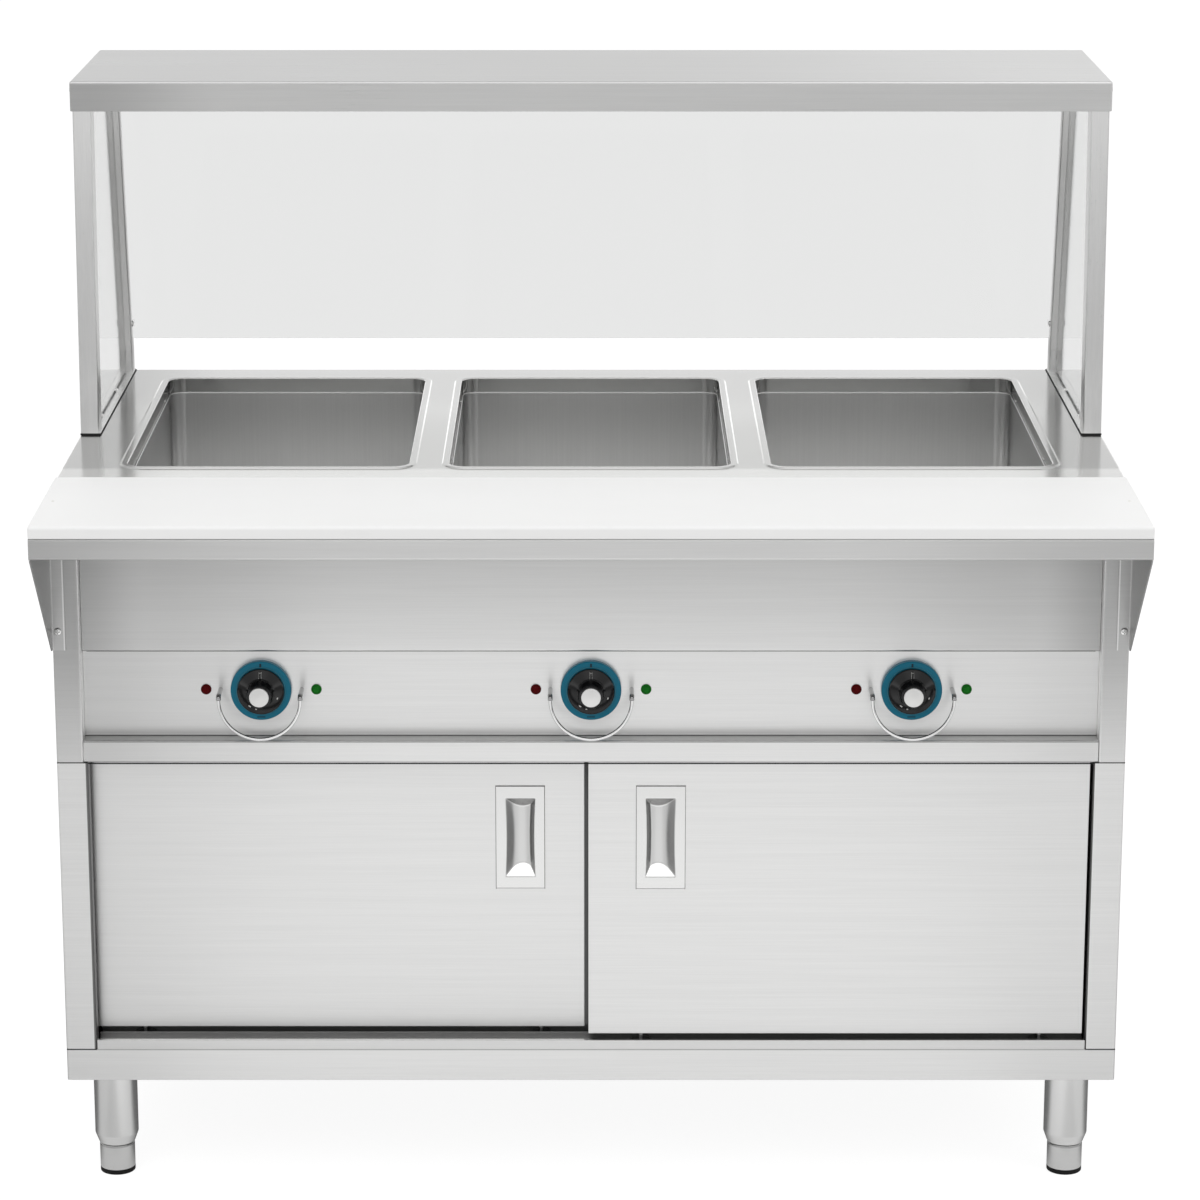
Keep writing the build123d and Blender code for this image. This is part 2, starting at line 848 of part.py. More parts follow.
def bezel(x):
    """The ring round a knob, dished towards the middle, with a hole for the spindle."""
    hole = spindle_radius + spindle_gap
    return turned(x, [
        (hole, 0),
        (bezel_radius, 0),
        (bezel_radius, bezel_thickness - 1.5),
        (bezel_radius - 1.5, bezel_thickness),
        (knob_skirt_radius + 1.0, bezel_thickness - 0.4),
        (knob_skirt_radius, bezel_thickness - 1.0),
        (hole, bezel_thickness - 1.0),
    ])


def knob(x):
    """A knob with its skirt, grip, pointer and the spindle that runs back into the thermostat."""
    foot_stand = bezel_thickness + knob_gap
    skirt_top = foot_stand + knob_skirt_thickness
    body = turned(x, [
        (0, -sheet - spindle_reach),
        (spindle_radius, -sheet - spindle_reach),
        (spindle_radius, foot_stand),
        (knob_skirt_radius, foot_stand),
        (knob_skirt_radius, skirt_top),
        (knob_skirt_radius - 1.6, skirt_top + 2.0),
        (knob_boss_radius + 1.6, skirt_top + 3.6),
        (knob_boss_radius, skirt_top + 6.0),
        (knob_top_radius, knob_stand - 1.2),
        (knob_top_radius - 1.2, knob_stand),
        (0, knob_stand),
    ])
    pointer = block(x - pointer_width / 2, x + pointer_width / 2,
                    panel_recess - skirt_top - 3.6 - pointer_height, panel_recess - skirt_top,
                    knob_level + knob_boss_radius, knob_level + knob_skirt_radius - 1.8)
    return body + pointer


def knob_cap(x):
    """The metal disc on the knob's face."""
    return turned(x, [
        (0, knob_stand),
        (knob_cap_radius, knob_stand),
        (knob_cap_radius, knob_stand + knob_cap_height - 0.6),
        (knob_cap_radius - 0.6, knob_stand + knob_cap_height),
        (0, knob_stand + knob_cap_height),
    ])


def thermostat(x):
    """The thermostat's case behind the panel, bored for the spindle."""
    half = thermostat_size / 2
    front = panel_recess + sheet
    case = block(x - half, x + half, front, front + thermostat_depth, knob_level - half, knob_level + half)
    case -= rod((x, front - 1.0, knob_level), (0, 1, 0), spindle_radius + spindle_gap, spindle_reach + 1.3)
    return fillet(case.edges().filter_by(Axis.Y), 3.0)


def knob_guard(x):
    """A wire guard: two legs out of the panel and a half loop that hangs below the knob."""
    tail = panel_recess + sheet + guard_tail
    reach = panel_recess - guard_reach
    low = knob_level - guard_bend - guard_straight
    left_leg = FilletPolyline((x - guard_half_width, tail, knob_level),
                              (x - guard_half_width, reach, knob_level),
                              (x - guard_half_width, reach, low), radius=guard_bend)
    loop = ThreePointArc((x - guard_half_width, reach, low), (x, reach, low - guard_half_width),
                         (x + guard_half_width, reach, low))
    right_leg = FilletPolyline((x + guard_half_width, reach, low),
                               (x + guard_half_width, reach, knob_level),
                               (x + guard_half_width, tail, knob_level), radius=guard_bend)
    path = Wire([*left_leg.edges(), *loop.edges(), *right_leg.edges()])
    wire_end = Plane(origin=(x - guard_half_width, tail, knob_level), z_dir=(0, -1, 0))
    return sweep(wire_end * Circle(guard_wire_radius), path=path)


def pilot_lamp(x):
    """A pilot lamp: a domed lens in front of the panel and its body behind."""
    return turned(x, [
        (0, -sheet - lamp_body_length),
        (lamp_body_radius, -sheet - lamp_body_length),
        (lamp_body_radius, 0),
        (lamp_radius, 0),
        (lamp_radius, lamp_stand * 0.5),
        (lamp_radius * 0.8, lamp_stand * 0.85),
        (lamp_radius * 0.4, lamp_stand),
        (0, lamp_stand),
    ])


# Electrics


def gland_level():
    """The height of the supply gland in the back of the body."""
    return body_floor_level + gland_rise


def supply_gland():
    """A cord gland in the back panel: a flanged body outside, a nut inside and a bore for the cord."""
    inside = back_panel_rear - sheet
    centre = (gland_place, inside - gland_inner_length, gland_level())
    length = gland_inner_length + sheet + gland_outer_length
    body = rod(centre, (0, 1, 0), gland_radius, length)
    nut = rod((gland_place, inside - gland_nut_height, gland_level()), (0, 1, 0), gland_nut_radius,
              gland_nut_height)
    flange = rod((gland_place, back_panel_rear, gland_level()), (0, 1, 0), gland_nut_radius,
                 gland_nut_height)
    dome = rod((gland_place, back_panel_rear + gland_outer_length - gland_nut_height, gland_level()),
               (0, 1, 0), gland_nut_radius - 1.5, gland_nut_height)
    bore = rod((gland_place, centre[1] - 1.0, gland_level()), (0, 1, 0), gland_bore, length + 2.0)
    return body + nut + flange + dome - bore


def upper_back():
    """The back of the body, with the hole that the gland passes through."""
    panel = back_panel(seam_level, counter_level - sheet - seam_level)
    return panel - rod((gland_place, 0, gland_level()), (0, 1, 0), gland_radius + contact_gap, body_depth)


def terminal_block():
    """A terminal block on the body's floor."""
    half = block_length / 2
    body = block(block_place - half, block_place + half, block_setback, block_setback + block_width,
                 body_floor_level, body_floor_level + block_height)
    for number in range(5):
        x = block_place + (number - 2) * block_length / 5
        body -= rod((x, block_setback + block_width / 2, body_floor_level + block_height - 5.0), (0, 0, 1),
                    3.0, 6.0)
    return body


def wiring():
    """The loom from the terminal block to the thermostats, with a branch to each."""
    middle = block_setback + block_width / 2
    block_top = body_floor_level + block_height
    loom_x = block_place - loom_offset
    rear = panel_recess + sheet + thermostat_depth
    loom_path = FilletPolyline((loom_x, middle, block_top), (loom_x, middle, knob_level),
                               (knob_centres[0], middle, knob_level), (knob_centres[0], rear, knob_level),
                               radius=loom_bend)
    loom = sweep(Plane(origin=(loom_x, middle, block_top)) * Circle(loom_radius), path=loom_path)
    for x in knob_centres[1:]:
        loom += rod((x, rear, knob_level), (0, 1, 0), loom_branch_radius, middle - rear)
    return loom


# Work shelf


def work_shelf():
    """The shelf under the cutting board: a plate with a flange turned down at the front."""
    section = [
        (shelf_rear, shelf_level),
        (-shelf_reach, shelf_level),
        (-shelf_reach, shelf_level - shelf_flange),
        (-shelf_reach + base_lip, shelf_level - shelf_flange),
    ]
    shelf = bent_along_x(section, sheet, -half_counter, half_counter)
    for side in (-1, 1):
        shelf -= block(side * (half_body - fit_gap), side * (half_counter + 1.0), -shelf_reach + sheet,
                       -shelf_reach + base_lip + 1.0, shelf_level - shelf_flange - 1.0,
                       shelf_level - sheet * 2 - bend_radius)
    return shelf


def cutting_board():
    """The board on the work shelf, its front and end edges rounded."""
    front = -shelf_reach - board_overhang
    board = block(-half_counter, half_counter, front, counter_front - fit_gap, shelf_level,
                  shelf_level + board_thickness)
    top = board.faces().sort_by(Axis.Z)[-1]
    board = fillet(top.edges().sort_by(Axis.Y)[0], board_edge_radius)
    upright = board.edges().filter_by(Axis.Z).group_by(Axis.Y)[0]
    return fillet(upright, board_edge_radius * 0.5)


def shelf_bracket():
    """The right bracket: a tapered plate under the shelf's end and a flange on the stile."""
    bottom = shelf_level - bracket_drop
    top = shelf_level - sheet
    front = -shelf_reach + sheet + bend_radius
    outline = [
        (0, bottom),
        (0, top),
        (front, top),
        (front, top - shelf_flange),
        (-bracket_foot, bottom),
    ]
    plate = side_profile(outline, half_body, half_body + bracket_sheet)
    flange = block(half_body - bracket_flange, half_body, -bracket_sheet, 0, bottom,
                   top - shelf_flange)
    return with_holes(plate + flange, "bracket")


# Overshelf


def overshelf():
    """The shelf pan: a top with a flange all round and a lip turned in at the front and the rear."""
    front = overshelf_front
    rear = overshelf_front + overshelf_depth
    bottom = top_level - overshelf_flange
    outer = rounded_block(-half_overshelf, half_overshelf, front, rear, bottom, top_level, 2.5)
    inner = rounded_block(-half_overshelf + sheet, half_overshelf - sheet, front + sheet, rear - sheet,
                          bottom - 1.0, overshelf_underside, 1.3)
    lip_reach = post_outer - post_width - 2.0
    front_lip = block(-lip_reach, lip_reach, front, front + sheet + overshelf_front_lip, bottom,
                      bottom + sheet)
    rear_lip = block(-lip_reach, lip_reach, rear - sheet - overshelf_rear_lip, rear, bottom, bottom + sheet)
    return with_holes(outer - inner + front_lip + rear_lip, "overshelf")


def front_post():
    """The right front post, a tube that leans back a little."""
    def outline(inset, overrun):
        low = post_foot_level - overrun
        high = overshelf_underside + overrun
        front_low = front_post_foot + frame_lean(low) + inset
        front_high = front_post_foot + frame_lean(high) + inset
        depth = front_post_depth - 2 * inset
        return [(front_low, low), (front_low + depth, low), (front_high + depth, high), (front_high, high)]
    tube = side_profile(outline(0, 0), post_outer - post_width, post_outer)
    tube -= side_profile(outline(post_wall, 1.0), post_outer - post_width + post_wall, post_outer - post_wall)
    return with_holes(tube, "overshelf")


def rear_post():
    """The right rear post: a short upright foot, then a tube that leans forward to the shelf."""
    knee = post_foot_level + rear_post_knee
    rise = overshelf_underside - knee

    def outline(inset, overrun):
        high = overshelf_underside + overrun
        face = rear_post_foot + inset
        depth = rear_post_depth - 2 * inset
        face_high = face - rear_post_lean * (high - knee) / rise
        low = post_foot_level - overrun
        return [(face, low), (face + depth, low), (face + depth, knee), (face_high + depth, high),
                (face_high, high), (face, knee)]
    tube = side_profile(outline(0, 0), post_outer - post_width, post_outer)
    tube -= side_profile(outline(post_wall, 1.0), post_outer - post_width + post_wall, post_outer - post_wall)
    return with_holes(with_holes(tube, "overshelf"), "glass")


def base_strip():
    """The right strip on the counter that the posts stand on, its inner front corner rounded."""
    outer = post_outer + post_side_inset
    strip_plate = block(outer - strip_width, outer, strip_front, strip_front + strip_depth, counter_level,
                        counter_level + strip_thickness)
    corner = strip_plate.edges().filter_by(Axis.Z).sort_by(Axis.Y)[:2].sort_by(Axis.X)[0]
    return with_holes(fillet(corner, 6.0), "strip")


def side_glass():
    """The right end pane, between the front post and the rear post."""
    low = post_foot_level
    high = overshelf_underside - overshelf_flange / 2
    knee = post_foot_level + rear_post_knee
    front_low = front_post_foot + frame_lean(low) + front_post_depth + fit_gap
    front_high = front_post_foot + frame_lean(high) + front_post_depth + fit_gap
    middle = post_outer - post_width / 2
    outline = [
        (front_low, low + screw_head_height + fit_gap),
        (rear_face(knee) - fit_gap, low + screw_head_height + fit_gap),
        (rear_face(knee) - fit_gap, knee),
        (rear_face(high) - fit_gap, high),
        (front_high, high),
    ]
    half = side_glass_thickness / 2
    return side_profile(outline, middle - half, middle + half)


def rear_glass():
    """The rear pane, between the rear posts and in line with their lean."""
    low = post_foot_level + rear_glass_lift
    high = overshelf_underside
    inset = (rear_post_depth - rear_glass_thickness) / 2
    outline = [
        (rear_face(low) + inset, low),
        (rear_face(low) + inset + rear_glass_thickness, low),
        (rear_face(high) + inset + rear_glass_thickness, high),
        (rear_face(high) + inset, high),
    ]
    reach = post_outer - post_width - fit_gap
    pane = side_profile(outline, -reach, reach)
    for seat, direction in screws["glass"]:
        for place, facing in both_sides(seat, direction):
            pane -= rod(place, facing, screw_head_radius + fit_gap, screw_head_height + fit_gap * 2)
    return pane


def build():
    """Makes every piece and writes it."""
    save("base_pan", base_pan())
    save("right_lower_side", lower_side())
    save("left_lower_side", mirrored(lower_side()))
    save("back_panels", back_panel(base_top, seam_level - base_top), upper_back())
    save("door_tracks", door_sill(), door_track())

    save("left_door", *door(left_door_edge, left_door_inner_edge, rear_door_face, left_handle_centre))
    save("right_door", *door(right_door_inner_edge, right_door_edge, front_door_face,
                             right_handle_centre))
    save("left_door_handle", door_handle(left_handle_centre, rear_door_face, 1))
    save("right_door_handle", door_handle(right_handle_centre, front_door_face, -1))
    for side, middle in (("left", rear_door_mid), ("right", front_door_mid)):
        save(f"{side}_door_hangers", *door_gear(side, middle))
        for name, x in zip(("left", "right"), hanger_places[side]):
            save(f"{side}_door_{name}_roller", roller(x, middle))

    leg_places = {
        "front_left": (-leg_place_x, front_leg_place),
        "front_right": (leg_place_x, front_leg_place),
        "rear_left": (-leg_place_x, rear_leg_place),
        "rear_right": (leg_place_x, rear_leg_place),
    }
    save("leg_tubes", *[leg(x, y) for x, y in leg_places.values()])
    for name, (x, y) in leg_places.items():
        save(f"{name}_foot", foot(x, y))
        save(f"{name}_foot_cap", foot_cap(x, y))

    save("right_upper_side", upper_side())
    save("left_upper_side", mirrored(upper_side()))
    save("body_floor", body_floor())
    save("control_panel", control_panel())
    save("fascia_panel", fascia())
    save("heat_shield", heat_shield())
    save("counter_top", counter_top())
    for name, centre in zip(("left", "middle", "right"), well_centres):
        save(f"{name}_well", well(centre))
    save("heating_elements", *[heating_element(centre) for centre in well_centres])
    save("insulation_trays", *[insulation_tray(centre) for centre in well_centres])

    save("thermostats", *[thermostat(x) for x in knob_centres])
    save("dial_bezels", *[bezel(x) for x in knob_centres])
    save("knob_guards", *[knob_guard(x) for x in knob_centres])
    for name, x in zip(("left", "middle", "right"), knob_centres):
        save(f"{name}_knob", knob(x))
        save(f"{name}_knob_cap", knob_cap(x))
    save("red_lamps", *[pilot_lamp(x - lamp_spacing) for x in knob_centres])
    save("green_lamps", *[pilot_lamp(x + lamp_spacing) for x in knob_centres])
    save("terminal_block", terminal_block())
    save("wiring_loom", wiring())
    save("supply_gland", supply_gland())

    save("work_shelf", work_shelf())
    save("cutting_board", cutting_board())
    save("shelf_brackets", shelf_bracket(), mirrored(shelf_bracket()))

    save("overshelf", overshelf())
    save("front_posts", front_post(), mirrored(front_post()))
    save("rear_posts", rear_post(), mirrored(rear_post()))
    save("base_strips", base_strip(), mirrored(base_strip()))
    save("side_glasses", side_glass(), mirrored(side_glass()))
    save("rear_glass", rear_glass())
    save("panel_screws", *[pan_head(*place) for kind in screws.values() for seat in kind
                           for place in both_sides(*seat)])


build()
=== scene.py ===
import math

import bpy
import numpy as np
from bpy.props import FloatProperty, FloatVectorProperty, PointerProperty
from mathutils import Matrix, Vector
from mathutils.geometry import tessellate_polygon


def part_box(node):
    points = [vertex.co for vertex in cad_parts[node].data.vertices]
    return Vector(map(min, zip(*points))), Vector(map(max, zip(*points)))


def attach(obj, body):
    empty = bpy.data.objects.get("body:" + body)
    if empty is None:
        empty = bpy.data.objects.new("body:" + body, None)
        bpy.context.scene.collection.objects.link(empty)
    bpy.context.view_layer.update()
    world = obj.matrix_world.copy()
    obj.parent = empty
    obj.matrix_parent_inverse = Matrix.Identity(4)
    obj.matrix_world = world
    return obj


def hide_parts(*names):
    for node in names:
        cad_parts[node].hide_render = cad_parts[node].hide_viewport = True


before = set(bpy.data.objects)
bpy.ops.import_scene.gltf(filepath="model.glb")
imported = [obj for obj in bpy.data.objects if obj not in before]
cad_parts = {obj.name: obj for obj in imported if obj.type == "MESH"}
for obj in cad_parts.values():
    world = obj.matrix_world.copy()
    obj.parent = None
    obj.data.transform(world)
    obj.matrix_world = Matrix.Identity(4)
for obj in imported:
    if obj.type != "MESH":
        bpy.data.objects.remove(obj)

bl_info = {
    "name": "Electric steam table",
    "version": (1, 0, 0),
    "blender": (4, 5, 0),
    "location": "View3D > Sidebar > Steam table",
    "description": "Finishes and shaped pieces of a three-well steam table with sliding doors and overshelf",
    "category": "Object",
}

# The frame's Y of the cabinet's front plane, the side that carries the doors and controls.
FRONT = -0.2809
# The height at which each leg's tube ends and its foot comes out.
LEG_NOSE = 0.0370
WELLS = ("left_well", "middle_well", "right_well")
KNOBS = ("left_knob", "middle_knob", "right_knob")
FEET = ("front_left_foot", "front_right_foot", "rear_left_foot", "rear_right_foot")


def length(name, description, default):
    """A size in metres that a user may change."""
    return FloatProperty(name=name, description=description, default=default, unit="LENGTH", precision=4)


def colour(name, description, default):
    """A linear colour that a user may change."""
    return FloatVectorProperty(name=name, description=description, default=default, subtype="COLOR", min=0.0,
                               max=1.0)


class SteamTableSizes(bpy.types.PropertyGroup):
    """Sizes of the shaped pieces."""
    sheet: length("Sheet", "Thickness of the steel sheet", 0.0012)
    bend: length("Bend", "Outer radius of a bend in the sheet", 0.0022)
    edge: length("Edge break", "Radius of a deburred edge", 0.0004)
    well_corner: length("Well corner", "Radius of an upright corner of a well opening", 0.020)
    well_base: length("Well base", "Radius between a well's wall and its bottom", 0.015)
    rim_width: length("Rim width", "Width of the pressed rim round an opening", 0.010)
    rim_height: length("Rim height", "Height of the pressed rim", 0.0015)
    lip: length("Well lip", "Radius of the bead rolled round a well's top edge", 0.0008)
    collar: length("Collar", "Depth of the drawn collar below the counter", 0.033)
    counter_flange: length("Counter flange", "Depth of the counter's turned-down edge", 0.028)
    board_edge: length("Board edge", "Radius of the board's front top edge", 0.004)
    post_wall: length("Post wall", "Wall of the overshelf posts", 0.0015)
    post_corner: length("Post corner", "Outer corner radius of the posts", 0.0022)
    skirt_radius: length("Knob skirt", "Radius of a knob's skirt", 0.0266)
    boss_radius: length("Knob boss", "Radius of a knob's boss at its foot", 0.015)
    guard_wire: length("Guard wire", "Radius of the knob guards' wire", 0.0019)
    cup_depth: length("Handle cup", "Depth of the door handles' cups", 0.010)
    screw_head: length("Screw head", "Radius of a pan-head screw", 0.0046)


class SteamTableColours(bpy.types.PropertyGroup):
    """Colours of the finishes, linear."""
    steel: colour("Brushed steel", "Doors, panels and sides", (0.74, 0.74, 0.735))
    counter: colour("Counter steel", "Counter top and its rims", (0.84, 0.84, 0.83))
    well: colour("Well steel", "Drawn wells", (0.84, 0.84, 0.835))
    cup: colour("Handle steel", "Flush door handles", (0.66, 0.66, 0.655))
    chrome: colour("Chrome", "Knob guards", (0.78, 0.78, 0.78))
    board: colour("Cutting board", "White polyethylene", (0.90, 0.90, 0.895))
    dial: colour("Dial ring", "Blue ring round each knob", (0.0015, 0.148, 0.232))
    knob: colour("Knob", "Black moulded knob", (0.004, 0.004, 0.0045))
    knob_cap: colour("Knob cap", "Satin disc on the knob", (0.72, 0.72, 0.71))
    red_lens: colour("Red lens", "Power lamp", (0.100, 0.0015, 0.0025))
    green_lens: colour("Green lens", "Heating lamp", (0.011, 0.190, 0.016))
    rubber: colour("Rubber", "Caps of the feet", (0.005, 0.005, 0.005))
    glass: colour("Glass", "Sneeze guard panes", (0.80, 0.803, 0.80))


class SteamTableStage(bpy.types.PropertyGroup):
    """Floor, light and camera."""
    floor: FloatProperty(name="Floor", description="Paleness of the floor as the object is lit by it",
                         default=0.80, min=0.0, max=1.0)
    sky: FloatProperty(name="Sky", description="Strength of the even light from all round", default=0.65,
                       min=0.0)
    key: FloatProperty(name="Key light", description="Power of the large soft light above the front",
                       default=38.0, min=0.0, unit="POWER")
    lens: FloatProperty(name="Lens", description="Focal length in millimetres", default=122.16, min=10.0)
    camera_distance: length("Camera distance", "Distance of the camera in front of the origin", 4.7155)
    camera_height: length("Camera height", "Height of the camera above the floor", 1.8710)


# Points and meshes


def at_front(x, y, z):
    """A place given from the cabinet's front plane, in the frame."""
    return np.array([x, y + FRONT, z])


def rounded_line(points, radii, steps=6, closed=False):
    """A line through flat points whose corners are arcs. An arc touches both runs at radius / tan(half the
    corner's angle) from the corner, and its centre lies radius / sin(half) along the bisector."""
    points = np.asarray(points, float)
    radii = np.broadcast_to(np.asarray(radii, float), len(points))
    inner = slice(None) if closed else slice(1, -1)
    corner, radius = points[inner], radii[inner, None]
    before = np.roll(points, 1, axis=0)[inner] - corner
    after = np.roll(points, -1, axis=0)[inner] - corner
    before /= np.linalg.norm(before, axis=1, keepdims=True)
    after /= np.linalg.norm(after, axis=1, keepdims=True)
    half = np.arccos(np.clip((before * after).sum(1), -1, 1))[:, None] / 2
    bisector = before + after
    bisector /= np.linalg.norm(bisector, axis=1, keepdims=True)
    centre = corner + bisector * radius / np.sin(half)
    start = corner + before * radius / np.tan(half) - centre
    end = corner + after * radius / np.tan(half) - centre
    first = np.arctan2(start[:, 1], start[:, 0])[:, None]
    turn = np.arctan2(start[:, 0] * end[:, 1] - start[:, 1] * end[:, 0], (start * end).sum(1))[:, None]
    angle = first + turn * np.linspace(0, 1, steps)
    arcs = centre[:, None] + radius[:, None] * np.stack([np.cos(angle), np.sin(angle)], axis=2)
    arcs = arcs.reshape(-1, 2)
    return arcs if closed else np.concatenate([points[:1], arcs, points[-1:]])


def stacked(half_x, half_y, corner, level, centre, steps=8):
    """Rounded rectangles one above another. Each corner is a quarter circle of `corner`, its centre that far
    inside both half sizes; all four measures may change from ring to ring."""
    half_x, half_y, corner, level = (
        part.reshape(-1, 1) for part in np.broadcast_arrays(half_x, half_y, corner, level))
    angle = (np.linspace(0, np.pi / 2, steps)[None] + np.arange(4)[:, None] * np.pi / 2).ravel()
    side_x, side_y = np.repeat([1, -1, -1, 1], steps), np.repeat([1, 1, -1, -1], steps)
    x = centre[0] + side_x * (half_x - corner) + corner * np.cos(angle)
    y = centre[1] + side_y * (half_y - corner) + corner * np.sin(angle)
    return np.stack([x, y, level + 0 * x], axis=2)


def turned(profile, centre, direction=(0, 0, 1), sides=64):
    """A profile of (radius, height) carried round an axis: the radius goes along the cosine and sine of the
    angle, the height along the axis."""
    direction = np.asarray(direction, float)
    across = np.cross(direction, [0, 1, 0] if abs(direction[1]) < 0.9 else [0, 0, 1])
    across /= np.linalg.norm(across)
    up = np.cross(direction, across)
    radius, height = np.asarray(profile, float).T[:, :, None, None]
    angle = np.linspace(0, 2 * np.pi, sides, endpoint=False)[None, :, None]
    return centre + radius * (np.cos(angle) * across + np.sin(angle) * up) + height * direction


def carried(outline, start, end, axis=0):
    """A closed outline of two coordinates carried straight along the third, between two places."""
    outline = np.asarray(outline, float)
    rows = [np.insert(outline, axis, place, axis=1) for place in (start, end)]
    return np.stack(rows)


def tube(path, radius, hub, sides=20):
    """Circles carried along a path. At each point the circle's first radius points away from the hub, less
    its part along the path, and the second is square to both."""
    path = np.asarray(path, float)
    along = np.gradient(path, axis=0)
    along /= np.linalg.norm(along, axis=1, keepdims=True)
    first = path - hub
    first -= (first * along).sum(1, keepdims=True) * along
    first /= np.linalg.norm(first, axis=1, keepdims=True)
    second = np.cross(along, first)
    angle = np.linspace(0, 2 * np.pi, sides, endpoint=False)[None, :, None]
    radius = np.broadcast_to(radius, len(path))[:, None, None]
    return path[:, None] + radius * (np.cos(angle) * first[:, None] + np.sin(angle) * second[:, None])


def fan(points):
    """Six times the volume between the origin and a flat ring of points, cut into triangles."""
    return np.einsum("ij,ij", np.cross(points[1:-1], points[2:]), np.broadcast_to(points[0], points[2:].shape))


class Shell:
    """Grids of points gathered into one mesh."""

    def __init__(self):
        self.points, self.faces, self.count = [], [], 0

    def add(self, grid, ring=False, around=True, ends=True, flip=None):
        """Adds a grid as quads: `around` joins the last column to the first, `ring` the last row to the
        first, and `ends` closes the first and last rows. A closed grid turns its faces outward by itself,
        from the sign of its volume."""
        rows, columns, _ = grid.shape
        row, column = np.arange(rows if ring else rows - 1), np.arange(columns if around else columns - 1)
        row, column = (part.ravel() for part in np.meshgrid(row, column, indexing="ij"))
        below, beside = (row + 1) % rows, (column + 1) % columns
        quads = np.stack([row * columns + column, row * columns + beside, below * columns + beside,
                          below * columns + column], axis=1)
        faces = quads.tolist()
        flat = grid.reshape(-1, 3)
        if around and not ring and ends:
            faces += [list(range(columns))[::-1], list(range((rows - 1) * columns, rows * columns))]
        if flip is None:
            middle = flat - flat.mean(0)
            flip = sum(fan(middle[face]) for face in faces[len(quads):]) + np.einsum(
                "ij,ij", middle[quads[:, 0]],
                np.cross(middle[quads[:, 1]], middle[quads[:, 2]])
                + np.cross(middle[quads[:, 2]], middle[quads[:, 3]])) < 0
        if flip:
            faces = [face[::-1] for face in faces]
        return self.gather(flat, faces)

    def gather(self, points, faces):
        """Adds points and faces that are numbered from their own first point."""
        first = self.count
        self.faces += [[first + corner for corner in face] for face in faces]
        self.points.append(np.asarray(points, float))
        self.count += len(points)
        return self

    def piece(self, name, body, finish, stands_for=(), slot=None, smooth=32.0, wall=None, weld=False,
              marks=None):
        """Makes the object in a named finish, on a body. `wall` gives an open skin its thickness, on the side
        that its faces turn from, and `marks` is a named vector for each point, which a finish may read."""
        mesh = bpy.data.meshes.new(name)
        mesh.from_pydata(np.concatenate(self.points).tolist(), [], self.faces)
        for label, values in (marks or {}).items():
            mesh.attributes.new(label, "FLOAT_VECTOR", "POINT").data.foreach_set(
                "vector", np.asarray(values, np.float32).ravel())
        mesh.polygons.foreach_set("use_smooth", np.ones(len(mesh.polygons), bool))
        mesh.set_sharp_from_angle(angle=math.radians(smooth))
        mesh.materials.append(finishes()[finish])
        made = bpy.data.objects.new(name, mesh)
        bpy.context.scene.collection.objects.link(made)
        if weld:
            made.modifiers.new("seams", "WELD").merge_threshold = 1e-5
        if wall:
            skin = made.modifiers.new("wall", "SOLIDIFY")
            skin.thickness, skin.offset, skin.use_even_offset = wall, -1.0, True
        flats = made.modifiers.new("flats", "WEIGHTED_NORMAL")
        flats.keep_sharp = True
        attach(made, body)
        if stands_for:
            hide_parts(*stands_for)
        return made


# Finishes


class Field:
    """A number or colour that varies over a surface. Arithmetic on it adds Math nodes to its finish."""

    def __init__(self, finish, socket):
        self.finish, self.socket = finish, socket

    def math(self, operation, first, second=0.0):
        return self.finish.node("Math", {"operation": operation}, {0: first, 1: second})

    def __add__(self, other): return self.math("ADD", self, other)
    def __radd__(self, other): return self.math("ADD", other, self)
    def __sub__(self, other): return self.math("SUBTRACT", self, other)
    def __rsub__(self, other): return self.math("SUBTRACT", other, self)
    def __mul__(self, other): return self.math("MULTIPLY", self, other)
    def __rmul__(self, other): return self.math("MULTIPLY", other, self)
    def __pow__(self, other): return self.math("POWER", self, other)
    def __gt__(self, other): return self.math("GREATER_THAN", self, other)
    def __lt__(self, other): return self.math("LESS_THAN", self, other)

    def size(self):
        """Its value without the sign."""
        return self.math("ABSOLUTE", self)

    def ramp(self, low, high):
        """0 below low, 1 above high and smooth between."""
        return self.finish.node("MapRange", {"interpolation_type": "SMOOTHSTEP"},
                                {"Value": self, "From Min": low, "From Max": high})

    def fall(self, low, high):
        """1 below low, 0 above high and smooth between."""
        return 1.0 - self.ramp(low, high)

    def window(self, low, full, fade, high):
        """1 from full to fade, 0 below low and above high, and smooth between."""
        return self.ramp(low, full) * self.fall(fade, high)


